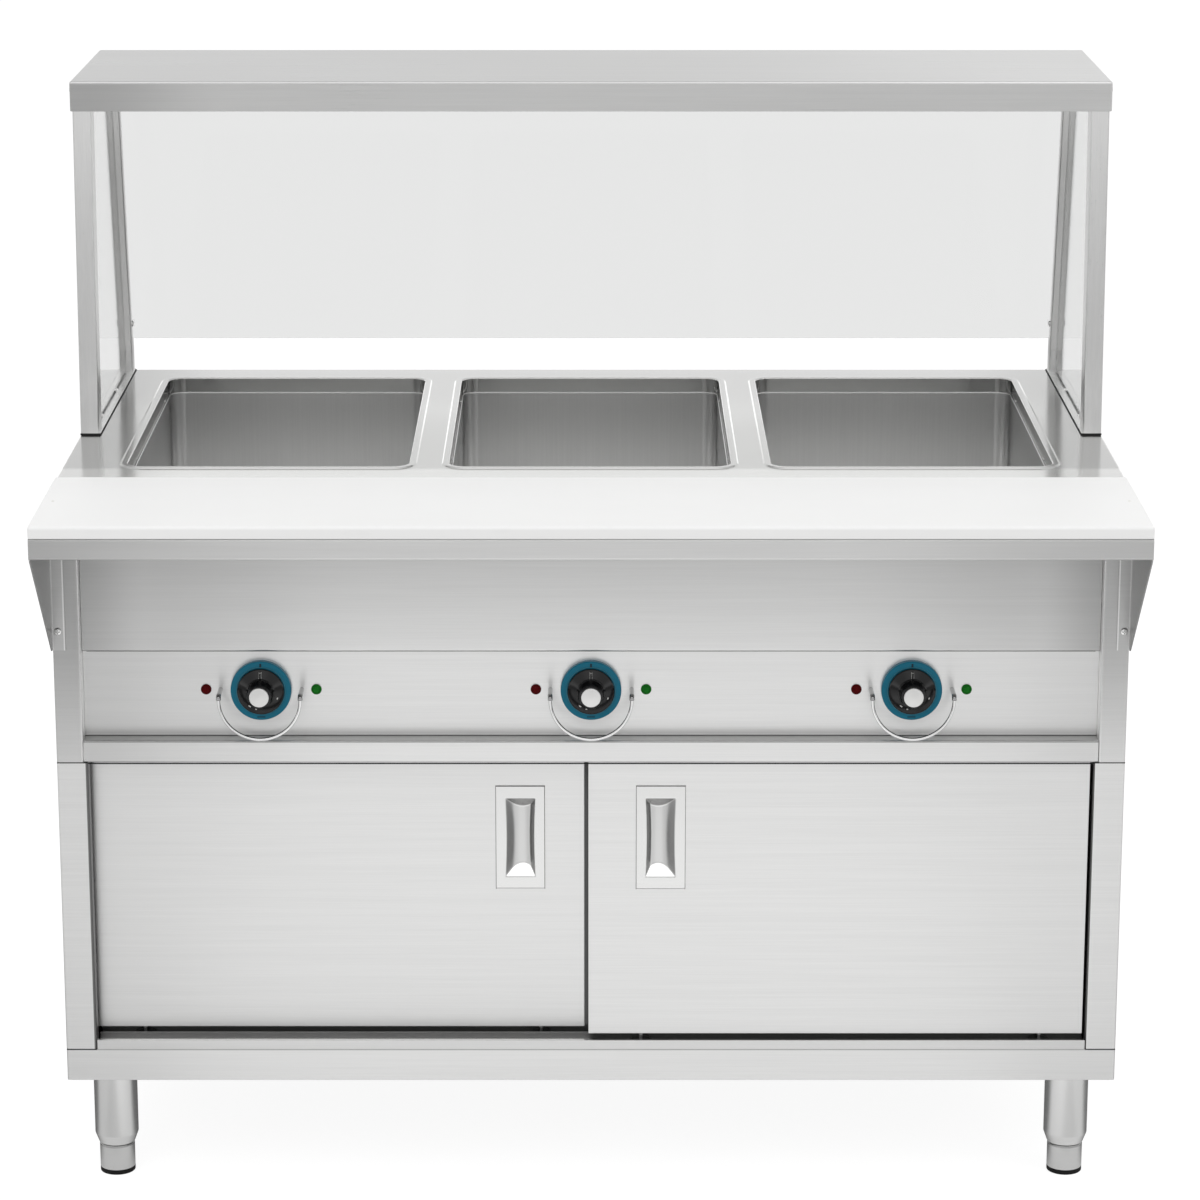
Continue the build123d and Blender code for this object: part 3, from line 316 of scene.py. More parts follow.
class Finish:
    """A material, or the world, built from expressions on Fields."""

    def __init__(self, name, owner=None):
        self.material = owner or bpy.data.materials.new(name)
        self.material.use_nodes = True
        self.tree = self.material.node_tree
        self.tree.nodes.clear()

    def node(self, kind, settings=None, sockets=None, output=0):
        """Adds a node of a type: its settings first, then the values or links of its sockets."""
        made = self.tree.nodes.new("ShaderNode" + kind)
        for name, value in (settings or {}).items():
            setattr(made, name, value)
        for key, value in (sockets or {}).items():
            if isinstance(value, Field):
                self.tree.links.new(value.socket, made.inputs[key])
            else:
                made.inputs[key].default_value = value
        return Field(self, made.outputs[output]) if made.outputs else None

    def place(self, scale=1.0):
        """Object coordinates times a scale: one number, or one for each axis."""
        here = self.node("TexCoord", output="Object")
        scale = np.broadcast_to(np.asarray(scale, float), 3).tolist()
        return self.node("VectorMath", {"operation": "MULTIPLY"}, {0: here, 1: scale})

    def parts(self, vector):
        """The three parts of a vector."""
        split = self.node("SeparateXYZ", sockets={0: vector})
        return [Field(self, socket) for socket in split.socket.node.outputs]

    def marks(self, name):
        """The three parts of a vector that the piece carries at its points."""
        return self.parts(self.node("Attribute", {"attribute_name": name}, output="Vector"))

    def dial(self):
        """How far across, up and out from the middle of its dial: out is the root of both squares' sum."""
        across, _, up = self.marks("on_dial")
        return across, up, (across * across + up * up) ** 0.5

    def noise(self, where, detail=3.0):
        """Noise from 0 to 1 about one half, at a vector or over Object coordinates times a scale."""
        vector = where if isinstance(where, Field) else self.place(where)
        return self.node("TexNoise", sockets={"Vector": vector, "Scale": 1.0, "Detail": detail,
                                              "Roughness": 0.6})

    def circles(self, radius, scale):
        """The fine circles that turning leaves: noise of the radius alone."""
        return self.noise(self.node("CombineXYZ", sockets={0: radius * scale}), detail=2.0)

    def tint(self, tone, factor):
        """A colour times a factor that varies."""
        return self.node("VectorMath", {"operation": "SCALE"}, {0: tone, "Scale": factor})

    def mix(self, factor, first, second):
        """From the first colour to the second as the factor goes from 0 to 1."""
        return self.node("Mix", {"data_type": "RGBA"}, {0: factor, 6: first, 7: second}, output=2)

    def bump(self, height, depth):
        """A normal bent by a height that goes from 0 to 1 over a real depth."""
        return self.node("Bump", sockets={"Height": height, "Distance": depth})

    def rays(self):
        """Fields that are 1 on rays from the camera, on rays through glass, on either of these, and on rays
        that a surface mirrors, and else 0."""
        ray = self.node("LightPath")
        camera, glossy, through = (Field(self, ray.socket.node.outputs[name]) for name in (
            "Is Camera Ray", "Is Glossy Ray", "Is Transmission Ray"))
        seen = camera + through
        return camera, through, seen, glossy * (1.0 - seen)

    def end(self, **sockets):
        """Ends in the main shader with these sockets, and returns the material."""
        shader = self.node("BsdfPrincipled",
                           sockets={name.replace("_", " "): value for name, value in sockets.items()})
        self.node("OutputMaterial", sockets={"Surface": shader})
        return self.material


def solid(tone):
    """A colour with full alpha."""
    return (*tone, 1.0)


def brushed(name, tone, along="x", rough=0.34, grain=0.11, depth=5e-6, spread=0.75, shade=None):
    """Brushed steel: fine streaks and wider bands drawn out along the grain, slow clouding from handling, and
    a gloss that spreads square to the grain. `shade` gives a factor for each place on the sheet, which paints
    shade and light into its colour."""
    finish = Finish(name)
    axis = "xyz".index(along)
    streaks = finish.noise(np.roll((9.0, 900.0, 900.0), axis), detail=2.0)
    bands = finish.noise(np.roll((2.0, 160.0, 160.0), axis), detail=2.0)
    slow = finish.noise(3.0, detail=2.0)
    factor = 1.0 + (streaks - 0.5) * grain + (bands - 0.5) * grain * 0.8 + (slow - 0.5) * 0.04
    # Painted shade and painted light, from the shade function.
    if shade:
        factor = factor * shade(*finish.parts(finish.place()))
    grain_way = np.roll((1.0, 0.02, 0.03), axis).tolist()
    return finish.end(Base_Color=finish.tint(tone, factor), Metallic=1.0, Anisotropic=spread,
                      Anisotropic_Rotation=0.25,
                      Tangent=finish.node("CombineXYZ", sockets=dict(enumerate(grain_way))),
                      Roughness=rough + (streaks - 0.5) * 0.10 + (slow - 0.5) * 0.06,
                      Normal=finish.bump(streaks + bands * 0.6, depth))


def drawn(tone):
    """Drawn steel of the wells: soft upright draw marks, slow clouding, and painted shade that makes the wall
    darker near its top."""
    finish = Finish("steel_well")
    marks = finish.noise((420.0, 420.0, 6.0), detail=2.0)
    cloud = finish.noise((6.0, 6.0, 9.0), detail=0.0)
    _, _, up = finish.parts(finish.place())
    factor = (1.0 + (marks - 0.5) * 0.10 + (cloud - 0.5) * 0.06) * (1.0 - 0.22 * up.ramp(0.72, 0.80))
    return finish.end(Base_Color=finish.tint(tone, factor), Metallic=1.0, Roughness=0.28,
                      Normal=finish.bump(marks, 5e-6))


def plated(finish, tone, haze, factor, rough, spread):
    """Ends a finish as plated or satin metal: the fine haze varies its gloss about `rough` and its surface."""
    return finish.end(Base_Color=finish.tint(tone, factor), Metallic=1.0,
                      Roughness=rough + (haze - 0.5) * spread, Normal=finish.bump(haze, 3e-6))


def screw_plate(tone):
    """Plated steel of the screws with a light haze."""
    finish = Finish("screw_plated")
    haze = finish.noise(260.0)
    return plated(finish, tone, haze, 0.97 + haze * 0.06, rough=0.22, spread=0.08)


def chrome_wire(tone):
    """Chrome plate with painted shade on the wire's inner side, and darker on the sleeves of its legs."""
    finish = Finish("guard_chrome_plate")
    sleeve, inner, _ = finish.marks("on_wire")
    haze = finish.noise(260.0)
    factor = (0.97 + haze * 0.06) * (1.0 - 0.55 * sleeve) * (1.0 - 0.80 * inner.ramp(0.45, 0.75))
    return plated(finish, tone, haze, factor, rough=0.07, spread=0.06)


def pressed_cup(tone):
    """Satin steel of a door handle with painted light and shade: painted highlights on the foot of its cup and
    along the back's folds, painted shade on the cup's sides, head and back and on the plate's edge."""
    finish = Finish("steel_cup")
    side, foot, head = finish.marks("on_cup")
    edge, back, bend = finish.marks("on_plate")
    haze = finish.noise(260.0)
    factor = (0.97 + haze * 0.06 - side * 0.55 - head * 0.45 + foot * 0.42 - edge * 0.45 - back * 0.16
              + bend * 0.5)
    return plated(finish, tone, haze, factor, rough=0.22, spread=0.08)


def spangled(tone):
    """Galvanised sheet: flat crystals of slightly different tone."""
    finish = Finish("sheet_galvanised")
    crystal = finish.node("TexVoronoi", sockets={"Vector": finish.place(70.0), "Scale": 1.0}, output="Color")
    shade = finish.parts(crystal)[0]
    return finish.end(Base_Color=finish.tint(tone, 0.86 + shade * 0.28), Metallic=1.0,
                      Roughness=0.36 + shade * 0.16, Normal=finish.bump(shade, 4e-6))


def moulded(name, tone, rough=0.38, texture=420.0, depth=1.5e-5, shine=0.5):
    """Moulded plastic or rubber with a fine eroded skin."""
    finish = Finish(name)
    skin = finish.noise(texture)
    slow = finish.noise(25.0)
    return finish.end(Base_Color=finish.tint(tone, 0.94 + slow * 0.12), Roughness=rough + (skin - 0.5) * 0.12,
                      Specular_IOR_Level=shine, Normal=finish.bump(skin, depth))


def board_plastic(tone):
    """White polyethylene: a faint grain left by the press and a few shallow knife strokes."""
    finish = Finish("board_polyethylene")
    grain = finish.noise(700.0, detail=2.0)
    slow = finish.noise((5.0, 9.0, 9.0))
    strokes = finish.noise((14.0, 520.0, 60.0), detail=1.0).ramp(0.66, 0.72)
    return finish.end(Base_Color=finish.tint(tone, 0.985 + slow * 0.03 - strokes * 0.012),
                      Roughness=0.46 + (grain - 0.5) * 0.10, Normal=finish.bump(grain - strokes * 0.5, 8e-6))


def dial_ring(tone):
    """Anodised blue ring: fine turned lines, a pale inner edge, and a small dark mark above and below the
    knob."""
    finish = Finish("dial_anodised")
    across, up, radius = finish.dial()
    lines = finish.circles(radius, 2600.0)
    speck = finish.noise(320.0)
    upper = (across.size() < 0.0011) * ((up - 0.0300).size() < 0.0022)
    lower = (across.size() < 0.0046) * ((up + 0.0305).size() < 0.0011)
    inner_edge = (radius - 0.0275).size().fall(0.0002, 0.0006)
    base = finish.tint(tone, 0.85 + lines * 0.20 + speck * 0.16)
    base = finish.mix(upper + lower * 0.6, base, solid((0.002, 0.012, 0.020)))
    base = finish.mix(inner_edge * 0.55, base, solid((0.20, 0.42, 0.50)))
    return finish.end(Base_Color=base, Roughness=0.36 + (speck - 0.5) * 0.1, Specular_IOR_Level=0.25,
                      Normal=finish.bump(lines, 8e-6))


def knob_plastic(tone):
    """Glossy black knob with short white graduations low on its skirt and a pale edge round the pointer. A
    graduation lies where the place turned by its angle is near the tick radius and near its line."""
    finish = Finish("knob_phenolic")
    across, up, radius = finish.dial()
    tick_radius, tick_reach, boss = 0.0204, 0.0007, 0.0152
    ticks = 0.0
    for angle, half in ((-20.0, 0.00112), (-104.8, 0.00091), (-127.5, 0.00147)):
        turn = math.radians(angle)
        out = across * math.cos(turn) + up * math.sin(turn)
        beside = up * math.cos(turn) - across * math.sin(turn)
        ticks = ((out - tick_radius).size() < tick_reach) * (beside.size() < half) + ticks
    pointer_sides = ((across.size() - 0.0013).size() < 0.00022) * ((up - 0.0200).size() < 0.0034)
    pointer_head = ((up - 0.0234).size() < 0.0003) * (across.size() < 0.0014)
    marks = (ticks + (pointer_sides + pointer_head) * 0.75) * (radius > boss)
    speck = finish.noise(500.0)
    base = finish.mix(marks, finish.tint(tone, 0.9 + speck * 0.2), solid((0.62, 0.62, 0.60)))
    return finish.end(Base_Color=base, Roughness=0.13 + (speck - 0.5) * 0.04, Specular_IOR_Level=0.4,
                      Normal=finish.bump(speck, 6e-6))


def cap_silver(tone):
    """Satin disc: fine circles left by turning."""
    finish = Finish("cap_satin")
    _, _, radius = finish.dial()
    circles = finish.circles(radius, 3200.0)
    return finish.end(Base_Color=finish.tint(tone, 0.93 + circles * 0.14), Metallic=1.0,
                      Roughness=0.34 + (circles - 0.5) * 0.12, Normal=finish.bump(circles, 8e-6))


def lens_plastic(name, tone):
    """Coloured lens with a net of small six-sided cells pressed into it."""
    finish = Finish(name)
    cells = finish.node("TexVoronoi", {"feature": "DISTANCE_TO_EDGE"},
                        {"Vector": finish.place(620.0), "Scale": 1.0, "Randomness": 0.25})
    facet = cells.ramp(0.02, 0.30)
    return finish.end(Base_Color=finish.tint(tone, 0.55 + facet * 0.75), Roughness=0.16,
                      Specular_IOR_Level=0.05, Normal=finish.bump(facet, 1.2e-4))


def pane_glass(tone):
    """Clear tempered glass; its shadow is a light veil, as thin glass gives."""
    finish = Finish("pane_tempered")
    dust = finish.noise(60.0, detail=4.0)
    glass = finish.node("BsdfPrincipled", sockets={
        "Base Color": solid(tone), "Roughness": (dust - 0.5) * 0.02 + 0.015, "IOR": 1.15,
        "Transmission Weight": 1.0})
    clear = finish.node("BsdfTransparent", sockets={"Color": solid(tuple(0.94 * part for part in tone))})
    ray = finish.node("LightPath", output="Is Shadow Ray")
    finish.node("OutputMaterial", sockets={
        "Surface": finish.node("MixShader", sockets={0: ray, 1: glass, 2: clear})})
    return finish.material


# Painted shade and painted light on the steel, from place to place. Each gives a factor for an x, y and z on
# the object.


def left(x, start, end):
    """0 up to start on the left of the middle, 1 from end on."""
    return (-1.0 * x).ramp(start, end)


def pan_shade(x, y, z):
    """Painted shade: the base pan's upper face is darker than its rail."""
    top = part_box("base_pan")[1][2]
    return 1.0 - 0.42 * z.ramp(top - 0.0014, top - 0.0008)


def track_shade(x, y, z):
    """Painted shade and light on the sill: the rear channel is darker, and the front one is brighter left of
    the middle and darker right of it, in the right door's shadow. The top track keeps its tone."""
    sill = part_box("base_pan")[1][2] + 0.012
    front_lip, middle_lip, half = FRONT + 0.0004, FRONT + 0.0265, 0.004
    on_sill = z.fall(sill, sill + 0.001)
    rear = y.ramp(middle_lip, middle_lip + 0.0020)
    inside = y.ramp(front_lip, front_lip + 0.0006)
    open_side = 0.30 * left(x, -half, half) - 0.60 * x.ramp(-half, half)
    return 1.0 - on_sill * (0.70 * rear - (1.0 - rear) * inside * open_side)


def leg_shade(x, y, z):
    """Painted shade: the foot below the leg's nose is darker, and most in the few millimetres right under the
    nose.
    """
    foot = z.fall(LEG_NOSE - 0.0004, LEG_NOSE + 0.0002)
    return 1.0 - foot * (0.12 + 0.45 * z.ramp(LEG_NOSE - 0.0040, LEG_NOSE - 0.0025))


def lower_stile_shade(x, y, z):
    """Painted shade: the stiles' inner margins, inward of these distances from the middle, are much darker."""
    left_margin, right_margin, soft = 0.5750, 0.5736, 0.0006
    return 1.0 - 0.80 * (-1.0 * x).fall(left_margin, left_margin + soft) * x.fall(
        right_margin, right_margin + soft)


def counter_shade(x, y, z):
    """Painted light and shade: the strip in front of the wells is brighter, the rear and both ends are darker.
    """
    strip = y.fall(FRONT + 0.128, FRONT + 0.145)
    ends = 0.26 * left(x, 0.45, 0.60) + 0.18 * x.ramp(0.45, 0.60)
    return 0.88 + 0.28 * strip - 0.10 * y.ramp(0.10, 0.30) - ends


def upright_shade(x, y, z):
    """Painted shade: the rear posts are darker than the front ones."""
    return 1.0 - 0.15 * y.ramp(0.20, 0.25)


def bracket_shade(x, y, z):
    """Painted highlights: on the front edge the outer fold and the inner brink are brighter."""
    outer, inner = 0.6070, 0.5945
    fold = (x.size() - outer).size().fall(0.0004, 0.0010)
    brink = (x.size() - inner).size().fall(0.0003, 0.0009)
    return 1.0 + (0.25 * fold + 0.55 * brink) * y.fall(FRONT + 0.001, FRONT + 0.004)


def fascia_shade(x, y, z):
    """Painted shade: darker with height, under the work shelf, and darker toward both ends."""
    across, middle = x.size(), 0.66
    return (0.94 - (z - middle) * 1.45) * (
        1.0 - 0.12 * across.ramp(0.25, 0.50) - 0.25 * across.ramp(0.50, 0.585))


def panel_shade(x, y, z):
    """Painted shade: dark along the fold over the ledge and along the rail's top edge, a little darker at the
    foot of the upright face and toward both ends."""
    fold_level, rail_top = 0.5430, 0.5407
    fold = z.window(fold_level - 0.0006, fold_level - 0.0003, fold_level + 0.0003, fold_level + 0.0008)
    brow = z.window(rail_top - 0.0009, rail_top - 0.0005, rail_top + 0.0005, rail_top + 0.0009) * y.fall(
        FRONT + 0.001, FRONT + 0.003)
    foot = z.fall(0.5450, 0.5540) * y.ramp(FRONT + 0.018, FRONT + 0.0195)
    return (1.0 - 0.10 * left(x, 0.2, 0.55) - 0.08 * x.size().ramp(0.46, 0.58)) * (
        1.0 - 0.70 * fold - 0.50 * brow - 0.12 * foot)


def stile_shade(x, y, z):
    """Painted light and shade: the inner margin is brighter; the face is darker with height, the left one more,
    but for its outer edge."""
    inner_edge, outer_edge, soft = 0.5777, 0.6075, 0.0008
    inner = x.size().fall(inner_edge, inner_edge + soft)
    face = 0.07 + 0.38 * z.ramp(0.45, 0.70) - 0.08 * x.ramp(0.0, 0.5)
    return 1.0 + 0.28 * inner - face * (1.0 - inner) * x.size().fall(outer_edge, outer_edge + soft)


def ledge_shade(x, y, z):
    """Painted shade: the work shelf is darker where the board lies over it, and toward its ends, the left one
    more.
    """
    (_, front, _), (end, _, _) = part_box("work_shelf")
    hidden = y.ramp(front + 0.002, front + 0.006) * x.size().fall(end - 0.004, end - 0.002)
    return 0.87 - 0.45 * hidden - 0.15 * x.size().ramp(0.25, 0.66) - 0.10 * left(x, 0.45, 0.66)


def overshelf_shade(x, y, z):
    """Painted light and shade: the faces darken toward the left end; the top is brighter, and more so toward
    the right.
    """
    top = z.ramp(1.2440, 1.2474)
    return 0.86 + 0.08 * top - (1.0 - top) * 0.24 * left(x, 0.42, 0.60) + top * 0.16 * x.ramp(0.0, 0.6)


_finishes = {}


def finishes():
    """Every finish by name, made once."""
    if not _finishes:
        tones = bpy.context.scene.steam_table_colours
        steel = tuple(tones.steel)

        def tone(name, factor=1.0):
            """One of the user's colours, times a factor."""
            return tuple(factor * part for part in getattr(tones, name))

        _finishes.update({
            # These steel finishes are copies of one steel that differ by painted shade and painted light.
            "body": brushed("steel_body", steel),
            "pan": brushed("steel_pan", steel, shade=pan_shade),
            "lower_stile": brushed("steel_lower_stile", steel, shade=lower_stile_shade),
            "door": brushed("steel_door", steel, rough=0.36),
            "upright": brushed("steel_upright", steel, along="z", rough=0.30, shade=upright_shade),
            "fascia": brushed("steel_fascia", steel, shade=fascia_shade),
            "panel": brushed("steel_panel", steel, shade=panel_shade),
            "stile": brushed("steel_stile", steel, shade=stile_shade),
            # Painted shade: the brackets are a darker copy of the steel, and bracket_shade paints highlights on
            # their edges.
            "bracket": brushed("steel_bracket", tone("steel", 0.68), shade=bracket_shade),
            "ledge": brushed("steel_ledge", steel, shade=ledge_shade),
            "shelf": brushed("steel_shelf", steel, rough=0.30, shade=overshelf_shade),
            "strip": brushed("steel_strip", steel, along="y", rough=0.24),
            "counter": brushed("steel_counter", tone("counter"), rough=0.16, grain=0.04, depth=2e-6,
                               spread=0.5, shade=counter_shade),
            "leg": brushed("steel_leg", tone("steel", 1.04), along="z", rough=0.24, grain=0.04,
                           shade=leg_shade),
            "cup": pressed_cup(tone("cup")),
            "well": drawn(tone("well")),
            "screw": screw_plate(steel),
            "track": brushed("steel_track", tone("steel", 0.9), shade=track_shade),
            "chrome": chrome_wire(tone("chrome")),
            "galvanised": spangled((0.52, 0.53, 0.54)),
            "element": moulded("element_oxide", (0.055, 0.045, 0.040), rough=0.55, texture=900.0),
            "board": board_plastic(tone("board")),
            "dial": dial_ring(tone("dial")),
            "knob": knob_plastic(tone("knob")),
            "cap": cap_silver(tone("knob_cap")),
            "red": lens_plastic("lens_red", tone("red_lens")),
            "green": lens_plastic("lens_green", tone("green_lens")),
            "rubber": moulded("foot_rubber_skin", tone("rubber"), rough=0.62, depth=4e-5, shine=0.2),
            "nylon": moulded("roller_nylon_skin", (0.70, 0.69, 0.64), rough=0.42),
            "terminal": moulded("terminal_phenolic", (0.03, 0.028, 0.025), rough=0.5),
            "sleeve": moulded("wire_sleeving", (0.42, 0.40, 0.36), rough=0.8, texture=1500.0, depth=6e-5),
            "gland": moulded("gland_nylon", (0.014, 0.014, 0.015), rough=0.42, depth=2e-5),
            # Painted shade: the door's gap strip and the joint beads stand in for the shade in gaps.
            "strip_rubber": moulded("door_strip_rubber", (0.13, 0.13, 0.13), rough=0.7, shine=0.3),
            "sealant": moulded("joint_sealant", (0.020, 0.020, 0.020), rough=0.8, shine=0.2),
            "case": moulded("thermostat_bakelite", (0.05, 0.04, 0.035), rough=0.45),
            "glass": pane_glass(tone("glass")),
        })
    return _finishes


NODE_FINISHES = {
    "body": ["body_floor", "back_panels"],
    "pan": ["base_pan"],
    "lower_stile": ["left_lower_side", "right_lower_side"],
    "fascia": ["fascia_panel"],
    "panel": ["control_panel"],
    "stile": ["left_upper_side", "right_upper_side"],
    "bracket": ["shelf_brackets"],
    "door": ["left_door", "right_door"],
    "shelf": ["overshelf"],
    "strip": ["base_strips"],
    "ledge": ["work_shelf"],
    "counter": ["counter_top"],
    "well": list(WELLS),
    "leg": ["leg_tubes", *FEET],
    "rubber": [foot + "_cap" for foot in FEET],
    "upright": ["front_posts", "rear_posts"],
    "cup": ["left_door_handle", "right_door_handle"],
    "screw": ["panel_screws"],
    "track": ["door_tracks", "left_door_hangers", "right_door_hangers"],
    "chrome": ["knob_guards"],
    "galvanised": ["heat_shield", "insulation_trays"],
    "element": ["heating_elements"],
    "board": ["cutting_board"],
    "dial": ["dial_bezels"],
    "knob": list(KNOBS),
    "cap": [knob + "_cap" for knob in KNOBS],
    "red": ["red_lamps"],
    "green": ["green_lamps"],
    "nylon": ["left_door_left_roller", "left_door_right_roller", "right_door_left_roller",
              "right_door_right_roller"],
    "terminal": ["terminal_block"],
    "sleeve": ["wiring_loom"],
    "gland": ["supply_gland"],
    "case": ["thermostats"],
    "glass": ["rear_glass", "side_glasses"],
}


# Bent sheets and panes, whose sharp edges are broken.
SHEET_NODES = ("base_pan", "control_panel", "fascia_panel", "work_shelf", "left_lower_side",
               "right_lower_side", "left_upper_side", "right_upper_side", "back_panels", "shelf_brackets",
               "left_door", "right_door", "base_strips", "door_tracks", "rear_glass", "side_glasses")
SMOOTH_BELOW = math.radians(32)


def smoothing():
    """A node group that welds a frame mesh's loose faces and smooths every edge under 32 degrees."""
    group = bpy.data.node_groups.new("weld_and_smooth", "GeometryNodeTree")
    group.interface.new_socket("Geometry", in_out="INPUT", socket_type="NodeSocketGeometry")
    group.interface.new_socket("Geometry", in_out="OUTPUT", socket_type="NodeSocketGeometry")
    made = {kind: group.nodes.new(kind) for kind in (
        "NodeGroupInput", "GeometryNodeMergeByDistance", "GeometryNodeInputMeshEdgeAngle",
        "FunctionNodeCompare", "NodeGroupOutput")}
    made["GeometryNodeMergeByDistance"].inputs["Distance"].default_value = 2e-6
    compare = made["FunctionNodeCompare"]
    compare.data_type, compare.operation = "FLOAT", "LESS_THAN"
    compare.inputs[1].default_value = SMOOTH_BELOW
    faces, edges = (group.nodes.new("GeometryNodeSetShadeSmooth") for _ in range(2))
    faces.domain, edges.domain = "FACE", "EDGE"
    link = group.links.new
    link(made["NodeGroupInput"].outputs[0], made["GeometryNodeMergeByDistance"].inputs[0])
    link(made["GeometryNodeMergeByDistance"].outputs[0], faces.inputs[0])
    link(faces.outputs[0], edges.inputs[0])
    link(made["GeometryNodeInputMeshEdgeAngle"].outputs[0], compare.inputs[0])
    link(compare.outputs[0], edges.inputs["Shade Smooth"])
    link(edges.outputs[0], made["NodeGroupOutput"].inputs[0])
    return group


class STEAMTABLE_OT_frame_finishes(bpy.types.Operator):
    """Give every node of the frame its finish, and smooth its bends"""
    bl_idname = "steamtable.frame_finishes"
    bl_label = "Frame finishes"

    def execute(self, context):
        group = smoothing()
        flat, sharp = math.radians(0.4), math.radians(35)
        for finish, names in NODE_FINISHES.items():
            for name in names:
                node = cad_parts[name]
                node.data.materials.clear()
                node.data.materials.append(finishes()[finish])
                node.modifiers.new("bends", "NODES").node_group = group
                if name in SHEET_NODES:
                    merged = node.modifiers.new("flat_faces", "DECIMATE")
                    merged.decimate_type, merged.angle_limit = "DISSOLVE", flat
                    broken = node.modifiers.new("edge_break", "BEVEL")
                    broken.width, broken.segments = context.scene.steam_table_sizes.edge, 2
                    broken.limit_method, broken.angle_limit = "ANGLE", sharp
                    broken.harden_normals = True
                node.modifiers.new("flats", "WEIGHTED_NORMAL").keep_sharp = True
        return {"FINISHED"}


class STEAMTABLE_OT_wells(bpy.types.Operator):
    """Draw the three wells with their rolled edge and round base"""
    bl_idname = "steamtable.wells"
    bl_label = "Wells"

    def execute(self, context):
        # A well is rounded rectangles one above another. Their inset and level follow the outer arc of the
        # base, the bead round the top edge, which is three quarters of a circle, and the base's inner arc.
        sizes = context.scene.steam_table_sizes
        turn = np.linspace(0, np.pi / 2, 8)
        lip = np.linspace(0, np.pi * 1.5, 13)
        wall, base, bead, room = sizes.sheet, sizes.well_base, sizes.lip, 0.0002
        rivet_rows, rivet_level = (0.248, 0.577), 0.8135
        dome = [(0.0019, -0.0004), (0.0019, 0.0002), (0.0015, 0.0006), (0.0007, 0.0009), (0.0002, 0.0010)]
        for name in WELLS:
            low, high = np.array(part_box(name))
            inset = np.concatenate([base * (1 - np.sin(turn)), bead * (1 - np.cos(lip)),
                                    wall + (base - wall) * (1 - np.sin(turn[::-1]))])
            level = np.concatenate([low[2] + base * (1 - np.cos(turn)), high[2] - bead * (1 - np.sin(lip)),
                                    low[2] + wall + (base - wall) * (1 - np.cos(turn[::-1]))])
            half = (high - low) / 2
            rings = stacked(half[0] - inset, half[1] - inset, sizes.well_corner - room - inset, level,
                            (low + high)[:2] / 2, steps=12)
            Shell().add(rings).piece(name + "_pan", "table", "well", [name], "well_steel")
            rivets = Shell()
            for side in (-1, 1):
                for y in rivet_rows:
                    x = (low[0] + high[0]) / 2 + side * (high[0] - low[0]) / 2
                    rivets.add(turned(dome, at_front(x, y, rivet_level), (-side, 0, 0), sides=16))
            rivets.piece(name + "_rivets", "table", "screw")
        return {"FINISHED"}


class STEAMTABLE_OT_counter(bpy.types.Operator):
    """Shape the counter with its pressed rims, drawn collars and turned-down edges"""
    bl_idname = "steamtable.counter"
    bl_label = "Counter"

    def execute(self, context):
        # The edge's rings go out and down over a quarter circle of the bend, then straight to the flange's
        # foot. The rim's profile is carried round each opening, and flat triangles join the first ring to it.
        sizes = context.scene.steam_table_sizes
        low, high = np.array(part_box("counter_top"))
        top, bend = high[2] - sizes.rim_height, sizes.bend
        room, cut, front_drop = 0.0002, 0.0005, 0.011
        step = low[1] + 0.015
        turn = np.linspace(0, np.pi / 2, 6)
        edge = rounded_line([low[:2], (high[0], low[1]), high[:2], (low[0], high[1])], bend, steps=5,
                            closed=True)
        steps = np.array([(high[0], step), (high[0], step + cut), (low[0], step + cut), (low[0], step)])
        edge = np.concatenate([edge[:10], steps[:2], edge[10:], steps[2:]])
        centre, half = (low + high)[:2] / 2, (high - low)[:2] / 2
        away = np.clip(np.abs(edge - centre) - (half - bend), 0, None) * np.sign(edge - centre)
        inner = edge - away
        reach = away / np.maximum(np.linalg.norm(away, axis=1, keepdims=True), 1e-9)
        drop = np.where(edge[:, 1] < step + cut / 2, front_drop, sizes.counter_flange)
        rings = [np.column_stack([inner + reach * bend * np.sin(angle),
                                  np.full(len(edge), top - bend * (1 - np.cos(angle)))]) for angle in turn]
        rings.append(np.column_stack([inner + reach * bend, top - drop]))
        shell = Shell()
        rim, height = sizes.rim_width, sizes.rim_height
        profile = rounded_line([(rim + 0.0015, 0), (rim - 0.0006, 0), (rim - 0.0026, height), (0.0, height),
                                (0.0, -sizes.collar)], [0, 0.0012, 0.0014, 0.0016, 0], steps=6)
        holes = []
        for name in WELLS:
            pan_low, pan_high = np.array(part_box(name))
            hole = (pan_high - pan_low)[:2] / 2 + room
            bead = stacked(hole[0] + profile[:, 0], hole[1] + profile[:, 0], sizes.well_corner + profile[:, 0],
                           top + profile[:, 1], (pan_low + pan_high)[:2] / 2, steps=12)
            shell.add(bead, ends=False, flip=False)
            holes.append(bead[0])
        shell.add(np.stack(rings), ends=False, flip=True)
        outline = [[Vector(point) for point in ring] for ring in (rings[0], *holes)]
        flat = np.concatenate([rings[0], *holes])
        faces = np.array(tessellate_polygon(outline))
        one, two, three = (flat[faces[:, corner]] for corner in range(3))
        down = np.cross(two - one, three - one)[:, 2] < 0
        faces[down] = faces[down][:, ::-1]
        shell.gather(flat, faces.tolist())
        shell.piece("counter_sheet", "table", "counter", ["counter_top"], "counter_steel",
                    wall=sizes.sheet, weld=True)
        return {"FINISHED"}


